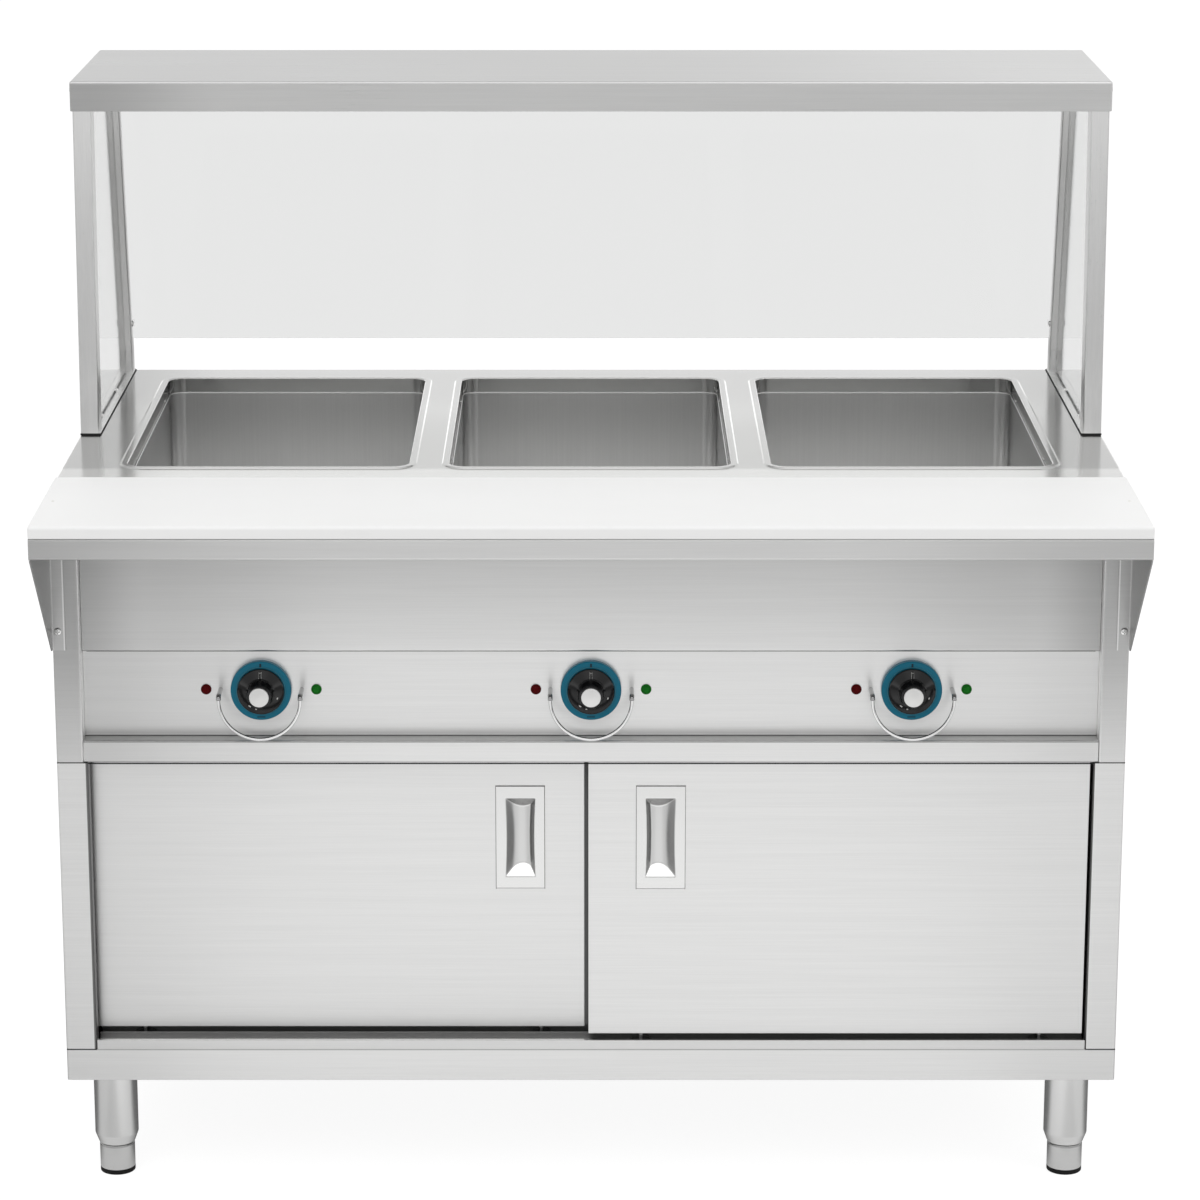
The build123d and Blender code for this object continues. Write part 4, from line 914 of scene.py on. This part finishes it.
class STEAMTABLE_OT_board(bpy.types.Operator):
    """Make the cutting board with its rounded front edge and the two pins near its ends"""
    bl_idname = "steamtable.board"
    bl_label = "Cutting board"

    def execute(self, context):
        # The board's section is carried from end to end, and shrinks over a quarter circle at both.
        sizes = context.scene.steam_table_sizes
        low, high = np.array(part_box("cutting_board"))
        outline = rounded_line([(low[1], low[2]), (high[1], low[2]), (high[1], high[2]), (low[1], high[2])],
                               [0.0012, 0.0004, 0.0008, sizes.board_edge], steps=8, closed=True)
        turn = np.linspace(0, np.pi / 2, 5)
        round_off, pin_across, pin_row, sunk = 0.0015, 0.597, -0.038, 0.0001
        inset = np.concatenate([round_off * (1 - np.sin(turn)), round_off * (1 - np.sin(turn[::-1]))])
        along = np.concatenate([low[0] + round_off * (1 - np.cos(turn)),
                                high[0] - round_off * (1 - np.cos(turn[::-1]))])
        middle, half = (low + high)[1:] / 2, (high - low)[1:] / 2
        rows = [np.column_stack([np.full(len(outline), x), middle + (outline - middle) * (half - cut) / half])
                for x, cut in zip(along, inset)]
        Shell().add(np.stack(rows)).piece("board_slab", "table", "board", ["cutting_board"],
                                          "cutting_board", smooth=40)
        pins, profile = Shell(), [(0.0016, 0.0), (0.0016, 0.0002), (0.0012, 0.0004), (0.0003, 0.00045)]
        for x in (-pin_across, pin_across):
            pins.add(turned(profile, at_front(x, pin_row, high[2] - sunk), sides=20))
        pins.piece("board_pins", "table", "nylon")
        return {"FINISHED"}


class STEAMTABLE_OT_overshelf(bpy.types.Operator):
    """Make the overshelf pan with bent edges, and its lips turned in at front and rear"""
    bl_idname = "steamtable.overshelf"
    bl_label = "Overshelf"

    def execute(self, context):
        # The pan is rounded rectangles: their inset and level follow the outer bend, half a circle round the
        # sheet's lower edge and the inner bend. Each lip is a flat section carried from end to end.
        sizes = context.scene.steam_table_sizes
        low, high = np.array(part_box("overshelf"))
        wall, bend = sizes.sheet, sizes.bend
        turn = np.linspace(0, np.pi / 2, 7)
        lip = np.linspace(0, np.pi, 7)
        inside = bend - wall
        inset = np.concatenate([bend * (1 - np.sin(turn)), wall / 2 * (1 - np.cos(lip)),
                                wall + inside * (1 - np.sin(turn[::-1]))])
        level = np.concatenate([high[2] - bend * (1 - np.cos(turn)), low[2] + wall / 2 * (1 - np.sin(lip)),
                                high[2] - wall - inside * (1 - np.cos(turn[::-1]))])
        half = (high - low) / 2
        corner, least_corner = 0.0030, 0.0004
        rings = stacked(half[0] - inset, half[1] - inset, corner - np.minimum(inset, corner - least_corner),
                        level, (low + high)[:2] / 2, steps=6)
        shell = Shell().add(rings)
        front_lip, rear_lip, end_gap = 0.0132, 0.0082, 0.0265
        reach = half[0] - end_gap
        for edge, depth, inward in ((low[1], front_lip, 1), (high[1], rear_lip, -1)):
            section = [(edge + inward * wall * 0.5, low[2]), (edge + inward * depth, low[2]),
                       (edge + inward * depth, low[2] + wall), (edge + inward * wall * 0.5, low[2] + wall)]
            shell.add(carried(rounded_line(section, sizes.edge, closed=True), -reach, reach))
        shell.piece("overshelf_pan", "table", "shelf", ["overshelf"], "shelf_steel")
        return {"FINISHED"}


class STEAMTABLE_OT_posts(bpy.types.Operator):
    """Make the four posts as tubes with round corners, leaning as the frame's posts do"""
    bl_idname = "steamtable.posts"
    bl_label = "Posts"

    def execute(self, context):
        # A post is rounded rectangles, up the outside and down the inside. Each station is a level and how far
        # the post's front face stands behind the cabinet's front plane there.
        sizes = context.scene.steam_table_sizes
        wall, corner = sizes.post_wall, sizes.post_corner
        across, half_width, least_corner = 0.598, 0.011, 0.0006
        foot, head, knee = 0.830, 1.2468, 0.858
        for name, stations, depth in (
                ("front_posts", ((foot, 0.316), (head, 0.336)), 0.030),
                ("rear_posts", ((foot, 0.690), (knee - 0.002, 0.690), (knee, 0.68976), (knee + 0.004, 0.6888),
                                (head, 0.606)), 0.020)):
            level = np.array([place[0] for place in stations])
            face = np.array([place[1] for place in stations])
            level, face = np.concatenate([level, level[::-1]]), np.concatenate([face, face[::-1]])
            inset = np.repeat([0.0, wall], len(stations))
            shell = Shell()
            for x in (-across, across):
                rings = stacked(half_width - inset, depth / 2 - inset, np.maximum(corner - inset, least_corner),
                                level, (x, 0.0), steps=5)
                rings[:, :, 1] += (face + depth / 2 + FRONT)[:, None]
                shell.add(rings, ring=True)
            shell.piece(name + "_tubes", "table", "upright", [name], "post_steel")
        return {"FINISHED"}


class STEAMTABLE_OT_legs(bpy.types.Operator):
    """Turn the four legs with their mounting plates, the feet and their rubber caps"""
    bl_idname = "steamtable.legs"
    bl_label = "Legs and feet"

    def execute(self, context):
        # Leg, foot and cap are profiles of radius and height carried round the leg's axis.
        legs = Shell()
        shoulder, plate, plate_half, plug = 0.0490, 0.1635, 0.040, 0.067
        outside, inside, bore, nose = 0.0254, 0.0239, 0.0064, 0.0210
        tube_profile = rounded_line([(bore, LEG_NOSE), (nose, LEG_NOSE), (outside, shoulder), (outside, plate),
                                     (inside, plate), (inside, plug), (bore, plug)],
                                    [0.0004, 0.0016, 0.0040, 0.0004, 0.0004, 0.0006, 0.0004], closed=True)
        foot, neck, foot_top, stud, stud_top = 0.0205, 0.0190, 0.0367, 0.0060, 0.0917
        pole, cap_floor, gap = 0.0004, 0.003, 0.0002
        for name in FEET:
            low, high = np.array(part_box(name))
            x, y = (low + high)[:2] / 2
            legs.add(turned(tube_profile, (x, y, 0.0), sides=72), ring=True)
            legs.add(stacked(plate_half, plate_half, 0.003, [plate, plate + 0.004], (x, y)))
            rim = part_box(name + "_cap")[1][2]
            foot_profile = rounded_line([(pole, cap_floor), (neck, cap_floor), (neck, rim + gap),
                                         (foot, rim + gap), (foot, foot_top), (stud, foot_top),
                                         (stud, stud_top), (pole, stud_top)],
                                        [0, 0.0005, 0.0003, 0.0005, 0.0030, 0.0006, 0.0008, 0])
            cap_inside = neck + 0.00005
            cap_profile = rounded_line([(pole, 0.0), (foot, 0.0), (foot, rim), (cap_inside, rim),
                                        (cap_inside, cap_floor), (pole, cap_floor)],
                                       [0, 0.0012, 0.0005, 0.0005, 0.0008, 0])
            Shell().add(turned(foot_profile, (x, y, 0.0), sides=72)).piece(
                name + "_bullet", name, "leg", [name], "leg_steel")
            Shell().add(turned(cap_profile, (x, y, 0.0), sides=72)).piece(
                name + "_boot", name, "rubber", [name + "_cap"], "foot_rubber")
        legs.piece("leg_posts", "table", "leg", ["leg_tubes"], "leg_steel")
        return {"FINISHED"}


def dial_places():
    """The middle of each knob on the panel's face, which stands back from the front plane."""
    panel = FRONT + 0.020
    for name in KNOBS:
        low, high = np.array(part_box(name))
        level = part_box(name + "_cap")
        yield name, np.array([(low[0] + high[0]) / 2, panel, (level[0][2] + level[1][2]) / 2])


def on_dial(shell, centre):
    """Each point's place measured from the middle of its dial."""
    return np.concatenate(shell.points) - centre


class STEAMTABLE_OT_dials(bpy.types.Operator):
    """Turn the dial rings, the knobs with their pointers and the satin caps"""
    bl_idname = "steamtable.dials"
    bl_label = "Dials and knobs"

    def execute(self, context):
        # Ring, knob and cap are profiles of radius and height above the panel carried round the dial's axis.
        # The pointer is a rounded outline on the skirt, which shrinks at its top.
        sizes = context.scene.steam_table_sizes
        skirt, boss = sizes.skirt_radius, sizes.boss_radius
        out = (0, -1, 0)
        pole, shaft, shaft_foot, bore = 0.0004, 0.0030, -0.0192, 0.0031
        ring_edge, ring_floor, knob_foot, knob_top, disc = 0.0345, 0.0070, 0.0084, 0.0345, 0.0111
        ring_profile = rounded_line([(bore, 0.0), (ring_edge, 0.0), (ring_edge, 0.0080), (0.0278, 0.0077),
                                     (0.0268, ring_floor), (bore, ring_floor)],
                                    [0.0002, 0.0002, 0.0016, 0.0004, 0.0004, 0.0002], closed=True)
        knob_profile = rounded_line([(pole, shaft_foot), (shaft, shaft_foot), (shaft, knob_foot),
                                     (skirt, knob_foot), (skirt, 0.0110), (skirt - 0.0008, 0.0118),
                                     (boss + 0.0014, 0.0160), (boss, 0.0182), (0.0136, 0.0333),
                                     (0.0122, knob_top), (pole, knob_top)],
                                    [0, 0.0004, 0.0004, 0.0006, 0.0004, 0.0006, 0.0016, 0.0020, 0.0008,
                                     0.0006, 0])
        cap_profile = rounded_line([(pole, knob_top), (disc, knob_top), (disc, 0.0365), (pole, 0.0368)],
                                   [0, 0.0002, 0.0006, 0])
        half, start, tip = 0.0011, 0.0152, 0.0242
        outline = rounded_line([(-half, start), (half, start), (half, tip), (-half, tip)], 0.0005, steps=4,
                               closed=True)
        middle = outline.mean(0)
        rings, places = Shell(), []
        for name, centre in dial_places():
            rings.add(turned(ring_profile, centre, out, sides=96), ring=True)
            places.append(rings.points[-1] - centre)
            knob = Shell().add(turned(knob_profile, centre, out, sides=96))
            rows = []
            for stand, share in ((0.0120, 1.0), (0.0160, 1.0), (0.0164, 0.8)):
                across, up = (middle + (outline - middle) * share).T
                rows.append(centre + np.column_stack([across, np.full(len(outline), -stand), up]))
            knob.add(np.stack(rows))
            knob.piece(name + "_grip", name, "knob", [name], "knob_black", smooth=40,
                       marks={"on_dial": on_dial(knob, centre)})
            cap = Shell().add(turned(cap_profile, centre, out, sides=72))
            cap.piece(name + "_disc", name, "cap", [name + "_cap"], "knob_cap_silver",
                      marks={"on_dial": on_dial(cap, centre)})
        rings.piece("dial_rings", "table", "dial", ["dial_bezels"], "dial_blue",
                    marks={"on_dial": np.concatenate(places)})
        return {"FINISHED"}


class STEAMTABLE_OT_guards(bpy.types.Operator):
    """Bend the wire guards below the knobs, with a sleeve on each leg"""
    bl_idname = "steamtable.guards"
    bl_label = "Knob guards"

    def execute(self, context):
        # The path comes out of the panel, turns down over a quarter circle, goes round half a circle below the
        # knob and back the same way. The wire is thicker where the sleeves are.
        sizes = context.scene.steam_table_sizes
        half, reach, bend, straight = 0.0462, -0.031, 0.0039, 0.0003
        seat, sleeve_start = 0.0052, -0.0006
        shell = Shell()
        wire, sleeve = sizes.guard_wire, sizes.guard_wire * 1.42
        marks = []
        for _, centre in dial_places():
            elbow = rounded_line([(reach + 0.0090, 0.0), (reach, 0.0), (reach, -bend - straight)], bend,
                                 steps=9)
            leg = np.concatenate([[(seat, 0.0), (sleeve_start, 0.0), (sleeve_start - 0.0002, 0.0)], elbow])
            thick = np.array([wire, wire] + [sleeve] * (len(elbow) + 1))
            first = np.column_stack([np.full(len(leg), -half), leg])
            angle = np.linspace(np.pi, 2 * np.pi, 49)[1:-1]
            loop = np.column_stack([half * np.cos(angle), np.full(len(angle), reach),
                                    half * np.sin(angle) - bend - straight])
            neck = first[-1:] - (0.0, 0.0, 0.0003)
            path = np.concatenate([first, neck, loop, neck * (-1, 1, 1), first[::-1] * (-1, 1, 1)])
            radius = np.concatenate([thick, [wire] * (len(loop) + 2), thick[::-1]])
            grid = tube(centre + path, radius, centre + (0.0, reach + 0.02, -bend - straight + 0.012))
            shell.add(grid)
            # Marks for the finish: the sleeves, and how far the wire faces inward, where the finish paints
            # shade on the chrome.
            inward = -path * (1, 0, 1)
            inward = inward / np.linalg.norm(inward, axis=1, keepdims=True)
            facing = ((grid - centre - path[:, None]) * inward[:, None]).sum(2) / radius[:, None]
            sleeved = np.broadcast_to((radius > wire)[:, None], facing.shape)
            marks.append(np.stack([sleeved, np.where(sleeved, 0.0, facing), 0 * facing], axis=2))
        shell.piece("guard_wires", "table", "chrome", ["knob_guards"], "guard_chrome", smooth=50,
                    marks={"on_wire": np.stack(marks)})
        return {"FINISHED"}


class STEAMTABLE_OT_lamps(bpy.types.Operator):
    """Turn the domed pilot lamps"""
    bl_idname = "steamtable.lamps"
    bl_label = "Pilot lamps"

    def execute(self, context):
        # A lamp is a profile of radius and height above the panel carried round its axis.
        beside = 0.0627
        profile = rounded_line([(0.0004, -0.0272), (0.0045, -0.0272), (0.0045, 0.0), (0.0060, 0.0),
                                (0.0060, 0.0014), (0.0048, 0.0026), (0.0024, 0.0030), (0.0003, 0.0030)],
                               [0, 0.0004, 0.0002, 0.0002, 0.0008, 0.0020, 0.0030, 0])
        for node, side, finish, slot in (("red_lamps", -1, "red", "red_lens"),
                                         ("green_lamps", 1, "green", "green_lens")):
            shell = Shell()
            for _, centre in dial_places():
                shell.add(turned(profile, centre + (side * beside, 0, 0), (0, -1, 0), sides=48))
            shell.piece(node + "_lenses", "table", finish, [node], slot)
        return {"FINISHED"}


class STEAMTABLE_OT_handles(bpy.types.Operator):
    """Press the flush door handles: a bevelled plate and a waisted cup with an arched foot"""
    bl_idname = "steamtable.handles"
    bl_label = "Door handles"

    def execute(self, context):
        # How deep the cup lies at a place is the smooth least of five depths: four walls that slope down from
        # its outline and a bowed back. Each wall reaches the full depth after its own run; the smooth least is
        # minus soft times the logarithm of the sum of exp(-depth / soft), and it is kept above 0 likewise. The
        # plate is flat, its edge falls off over edge_run, and its outline is bent back to the door. Each wall's
        # share of the sum marks where it lies, and fades out at the brim.
        depth = context.scene.steam_table_sizes.cup_depth
        half_width, half_height, edge_run, edge_depth = 0.0285, 0.062, 0.0009, 0.0015
        cup_half, cup_tall, waist_cut, bow, margin = 0.0174, 0.0472, 0.0014, 0.0017, 0.003
        outer_run, inner_run, foot_run, head_run = 0.0120, 0.0062, 0.0138, 0.0120
        soft, brim = 0.00028, 0.0006
        for name, body, pull in (("left_door_handle", "left_door", 1), ("right_door_handle", "right_door", -1)):
            low, high = np.array(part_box(name))
            middle = np.array([(low[0] + high[0]) / 2, low[1], (low[2] + high[2]) / 2])
            brink = np.array([0.0, 0.0, 0.0003, 0.0006, 0.0009, 0.0011])
            across, up = (np.concatenate([
                brink - half, np.linspace(-cup - margin, cup + margin, count), half - brink[::-1]])
                for half, cup, count in ((half_width, cup_half, 90), (half_height, cup_tall, 200)))
            u, v = np.meshgrid(across, up)
            waist = waist_cut * (1 - np.clip(v / cup_tall, -1, 1) ** 2)
            outer = (pull * u + cup_half - waist) * depth / outer_run
            inner = (cup_half - waist - pull * u) * depth / inner_run
            back_middle = (outer_run - inner_run) / 2
            back_half = cup_half - (outer_run + inner_run) / 2
            back = depth - bow * ((pull * u - back_middle) / back_half) ** 2
            foot = (v + cup_tall) * depth / foot_run
            head = (cup_tall - v) * depth / head_run
            walls = np.stack([outer, inner, back, foot, head])
            shares = np.exp(-walls / soft)
            cup = -soft * np.log(shares.sum(0))
            shares = shares / shares.sum(0) * np.clip(cup / brim, 0, 1)
            cup = soft * np.log1p(np.exp(np.clip(cup / soft, -60, 60)))
            border = np.minimum(half_width - np.abs(u), half_height - np.abs(v))
            edge = np.clip(1 - border / edge_run, 0, 1)
            y = edge_run * edge ** 1.5 + cup
            y[[0, -1], :] = y[:, [0, -1]] = edge_depth
            grid = np.stack([middle[0] + u, middle[1] + y, middle[2] + v], axis=2)
            # The marks carry painted shade on the cup's sides, head and back and the plate's edge, and painted
            # highlights on the cup's foot and the back's folds.
            Shell().add(grid, around=False, flip=False).piece(
                name + "_cup", body, "cup", [name], "cup_steel", smooth=30, wall=0.0008,
                marks={"on_cup": np.stack([shares[0] + shares[1], shares[3], shares[4]], axis=2),
                       "on_plate": np.stack([edge > 0, shares[2], 4 * shares[2] * (shares[1] + shares[4])],
                                            axis=2)})
        return {"FINISHED"}


class STEAMTABLE_OT_screws(bpy.types.Operator):
    """Turn the pan-head screws, each with a cross recess"""
    bl_idname = "steamtable.screws"
    bl_label = "Screws"

    def execute(self, context):
        # A head is a dome carried round the screw's axis. Points near either of two square lines across it are
        # pushed back into it by the depth of the recess.
        head = context.scene.steam_table_sizes.screw_head
        pole, shank, tip, dome_height = 0.0004, 0.0020, -0.007, 0.0024
        arm, slot, recess, flank = 0.0024, 0.0004, 0.0011, 0.0015
        seats = [((0.6015, -0.0015, 0.671), (0, -1, 0)), ((0.6115, 0.352, 1.23633), (1, 0, 0)),
                 ((0.6115, 0.616, 1.23633), (1, 0, 0)), ((0.598, 0.420, 0.830), (0, 0, 1)),
                 ((0.598, 0.573, 0.830), (0, 0, 1)), ((0.587, 0.6927, 0.892), (-1, 0, 0))]
        shell = Shell()
        share = np.linspace(0, 1, 14)[::-1] * 0.97 + 0.03
        for (x, y, z), (ax, ay, az) in seats:
            for side in (-1, 1):
                seat, out = at_front(side * x, y, z), (side * ax, ay, az)
                dome = np.column_stack([head * share, dome_height * (1 - share ** 2.6) ** 0.5 + 1e-5])
                profile = np.concatenate([[(pole, tip), (shank - 0.0002, tip), (shank, tip + 0.0004),
                                           (shank, 0.0), (head * 0.995, 0.0)], dome])
                grid = turned(profile, seat, out, sides=32)
                axis = np.array(out, float)
                spread = np.abs(grid - seat)[..., axis == 0]
                height = (grid - seat) @ axis
                cross = np.clip(1.6 - spread.min(2) / slot, 0, 1) * (spread.max(2) < arm) * (height > flank)
                grid -= (cross * recess)[..., None] * axis
                shell.add(grid)
        shell.piece("screw_heads", "table", "screw", ["panel_screws"], "screw_steel", smooth=40)
        return {"FINISHED"}


class STEAMTABLE_OT_seams(bpy.types.Operator):
    """Lay dark beads in the joints of the sheets and strips, which stand in for the shade in their gaps, and a
    grey strip on the left door's edge, which stands in for the shaded gap between the doors
    """
    bl_idname = "steamtable.seams"
    bl_label = "Joint beads"

    def execute(self, context):
        # A bead is a section with broken corners carried across, between two corners from the front plane.
        shell = Shell()

        def bead(x0, x1, y0, y1, z0, z1):
            x0, x1 = sorted((x0, x1))
            low, high = at_front(x0, y0, z0), at_front(x1, y1, z1)
            section = rounded_line([low[1:], (high[1], low[2]), high[1:], (low[1], high[2])], 5e-5, steps=3,
                                   closed=True)
            shell.add(carried(section, low[0], high[0]))

        end, joint, rail = 0.5724, 0.6421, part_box("control_panel")[0][2]
        # Painted shade: the dark beads stand in for the shadow in the joints.
        bead(-end, end, 0.0196, 0.0202, joint, 0.6434)
        bead(-end, end, 0.0004, 0.0014, rail - 0.0016, rail - 0.0002)
        stile_inner, stile_outer, half = 0.5728, 0.6078, 0.0006
        strip_line, strip_end, counter = 0.5856, 0.6090, 0.8279
        for side in (-1, 1):
            for level in (0.516, 0.169):
                bead(side * stile_outer, side * stile_inner, -0.0002, 0.0004, level - half, level + half)
            bead(side * (strip_line - 0.001), side * strip_line, 0.3160, 0.7090, counter, 0.8290)
            bead(side * strip_line, side * strip_end, 0.3152, 0.3162, counter, 0.8302)
        shell.piece("joint_beads", "table", "sealant")
        # Painted shade: the grey strip stands in for the shaded gap between the doors.
        low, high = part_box("left_door")
        left_edge, right_edge, face, back, short = -0.0090, -0.0024, FRONT + 0.0326, FRONT + 0.0346, 0.002
        strip = rounded_line([(left_edge, face), (right_edge, face), (right_edge, back), (left_edge, back)],
                             0.0003, steps=4, closed=True)
        Shell().add(carried(strip, low[2] + short, high[2] - short, axis=2)).piece(
            "left_door_strip", "left_door", "strip_rubber")
        return {"FINISHED"}


class STEAMTABLE_OT_stage(bpy.types.Operator):
    """Set up the floor, the soft light and the camera"""
    bl_idname = "steamtable.stage"
    bl_label = "Stage"

    def execute(self, context):
        scene = context.scene
        stage = scene.steam_table_stage
        mesh = bpy.data.meshes.new("studio_floor")
        far = 60
        mesh.from_pydata([(-far, -far, 0), (far, -far, 0), (far, far, 0), (-far, far, 0)], [], [(0, 1, 2, 3)])
        floor = bpy.data.objects.new("studio_floor", mesh)
        scene.collection.objects.link(floor)

        # The steel mirrors a floor that fades with its distance in front and to both sides, is dark under the
        # cabinet and a little darker before the legs. The camera sees it white, and the object is lit by its
        # paleness.
        paint = Finish("studio_floor_paint")
        camera, through, seen, mirror = paint.rays()
        across, along, _ = paint.parts(paint.place())
        front, beside = -1.0 * along, across.size()
        fade = 0.75 + 0.25 * front.ramp(0.5, 1.1) - 0.14 * front.ramp(1.5, 2.1) - 0.31 * front.ramp(2.1, 3.0)
        fade = fade - 0.17 * front.ramp(3.0, 4.2) + 0.08 * front.ramp(5.0, 9.0)
        fade = fade * (1.0 - (0.26 * left(across, 0.35, 0.75) + 0.18 * across.ramp(0.35, 0.75))
                       * front.fall(2.3, 3.4))
        under = along.window(-0.26, -0.16, 0.25, 0.50) * beside.fall(1.0, 1.6)
        by_legs = beside.window(0.47, 0.55, 0.66, 0.74) * front.ramp(0.30, 0.36) * front.fall(0.58, 0.70)
        fade = fade * (1.0 - 0.72 * under) * (1.0 - 0.15 * by_legs)
        matte = paint.node("BsdfDiffuse", sockets={
            "Color": seen * 0.22 + mirror * fade * 0.76 + (1.0 - seen - mirror) * stage.floor})
        glow = paint.node("Emission", sockets={
            "Color": solid((1, 1, 1)), "Strength": camera * 0.90 + through * 0.85 + mirror * fade * 0.56})
        paint.node("OutputMaterial", sockets={"Surface": paint.node("AddShader", sockets={0: matte, 1: glow})})
        mesh.materials.append(paint.material)

        # The camera sees a white sky. The steel mirrors one that changes with the height, in one way in front
        # of the object and in another behind it, and all else is lit evenly by the sky's strength.
        sky = Finish("studio_sky", bpy.data.worlds.new("studio_sky"))
        scene.world = sky.material
        _, _, seen, mirror = sky.rays()
        _, toward_rear, height = sky.parts(sky.node("TexCoord", output="Generated"))
        share = toward_rear.ramp(-0.5, 0.3)
        front = 1.55 - 0.80 * height.ramp(0.03, 0.20) + 0.60 * height.ramp(0.42, 0.62)
        rear = 1.5 - 0.72 * height.ramp(0.13, 0.20) - 0.20 * height.ramp(0.38, 0.55)
        strength = seen + mirror * (share * rear + (1.0 - share) * front) + (1.0 - seen - mirror) * stage.sky
        light = sky.node("Background", sockets={"Color": solid((1, 1, 1)), "Strength": strength})
        sky.node("OutputWorld", sockets={"Surface": light})

        # The lamps are large and soft, and nothing mirrors them.
        for name, place, aim, size, power in (
                ("front_softbox", (-1.4, -3.2, 3.4), (0.0, 0.0, 0.6), 2.4, stage.key),
                ("right_softbox", (2.8, -1.6, 2.8), (0.0, 0.0, 0.7), 2.0, stage.key * 0.55),
                ("top_softbox", (0.0, 0.6, 3.6), (0.0, 0.1, 0.8), 2.6, stage.key * 0.55)):
            lamp = bpy.data.lights.new(name, "AREA")
            lamp.shape, lamp.size, lamp.energy = "SQUARE", size, power
            box = bpy.data.objects.new(name, lamp)
            box.location = place
            box.rotation_euler = (Vector(aim) - Vector(place)).to_track_quat("-Z", "Y").to_euler()
            box.visible_glossy = False
            scene.collection.objects.link(box)

        view = bpy.data.cameras.new("photo_camera")
        view.lens, view.sensor_width, view.shift_x = stage.lens, 36.0, 0.0075
        view.clip_start, view.clip_end = 0.05, 200.0
        tilt = 75.30
        eye = bpy.data.objects.new("photo_camera", view)
        eye.location = (0.0, -stage.camera_distance, stage.camera_height)
        eye.rotation_euler = (math.radians(tilt), 0.0, 0.0)
        scene.collection.objects.link(eye)
        scene.camera = eye
        scene.view_settings.view_transform = "Standard"
        return {"FINISHED"}


class STEAMTABLE_PT_panel(bpy.types.Panel):
    """Sizes, colours and pieces of the steam table"""
    bl_label = "Steam table"
    bl_idname = "STEAMTABLE_PT_panel"
    bl_space_type = "VIEW_3D"
    bl_region_type = "UI"
    bl_category = "Steam table"

    def draw(self, context):
        for group in ("steam_table_sizes", "steam_table_colours", "steam_table_stage"):
            values = getattr(context.scene, group)
            box = self.layout.box()
            for name in values.__annotations__:
                box.prop(values, name)
        for piece in PIECES:
            self.layout.operator(piece.bl_idname)


PIECES = (STEAMTABLE_OT_frame_finishes, STEAMTABLE_OT_wells, STEAMTABLE_OT_counter, STEAMTABLE_OT_board,
          STEAMTABLE_OT_overshelf, STEAMTABLE_OT_posts, STEAMTABLE_OT_legs, STEAMTABLE_OT_dials,
          STEAMTABLE_OT_guards, STEAMTABLE_OT_lamps, STEAMTABLE_OT_handles, STEAMTABLE_OT_screws,
          STEAMTABLE_OT_seams, STEAMTABLE_OT_stage)
GROUPS = (SteamTableSizes, SteamTableColours, SteamTableStage)


def register():
    for cls in (*GROUPS, *PIECES, STEAMTABLE_PT_panel):
        bpy.utils.register_class(cls)
    bpy.types.Scene.steam_table_sizes = PointerProperty(type=SteamTableSizes)
    bpy.types.Scene.steam_table_colours = PointerProperty(type=SteamTableColours)
    bpy.types.Scene.steam_table_stage = PointerProperty(type=SteamTableStage)


def unregister():
    del bpy.types.Scene.steam_table_stage, bpy.types.Scene.steam_table_colours
    del bpy.types.Scene.steam_table_sizes
    for cls in reversed((*GROUPS, *PIECES, STEAMTABLE_PT_panel)):
        bpy.utils.unregister_class(cls)


def main():
    """Makes every piece and the stage in order."""
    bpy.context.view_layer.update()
    register()
    for piece in PIECES:
        group, name = piece.bl_idname.split(".")
        getattr(getattr(bpy.ops, group), name)()


if __name__ == "__main__":
    main()
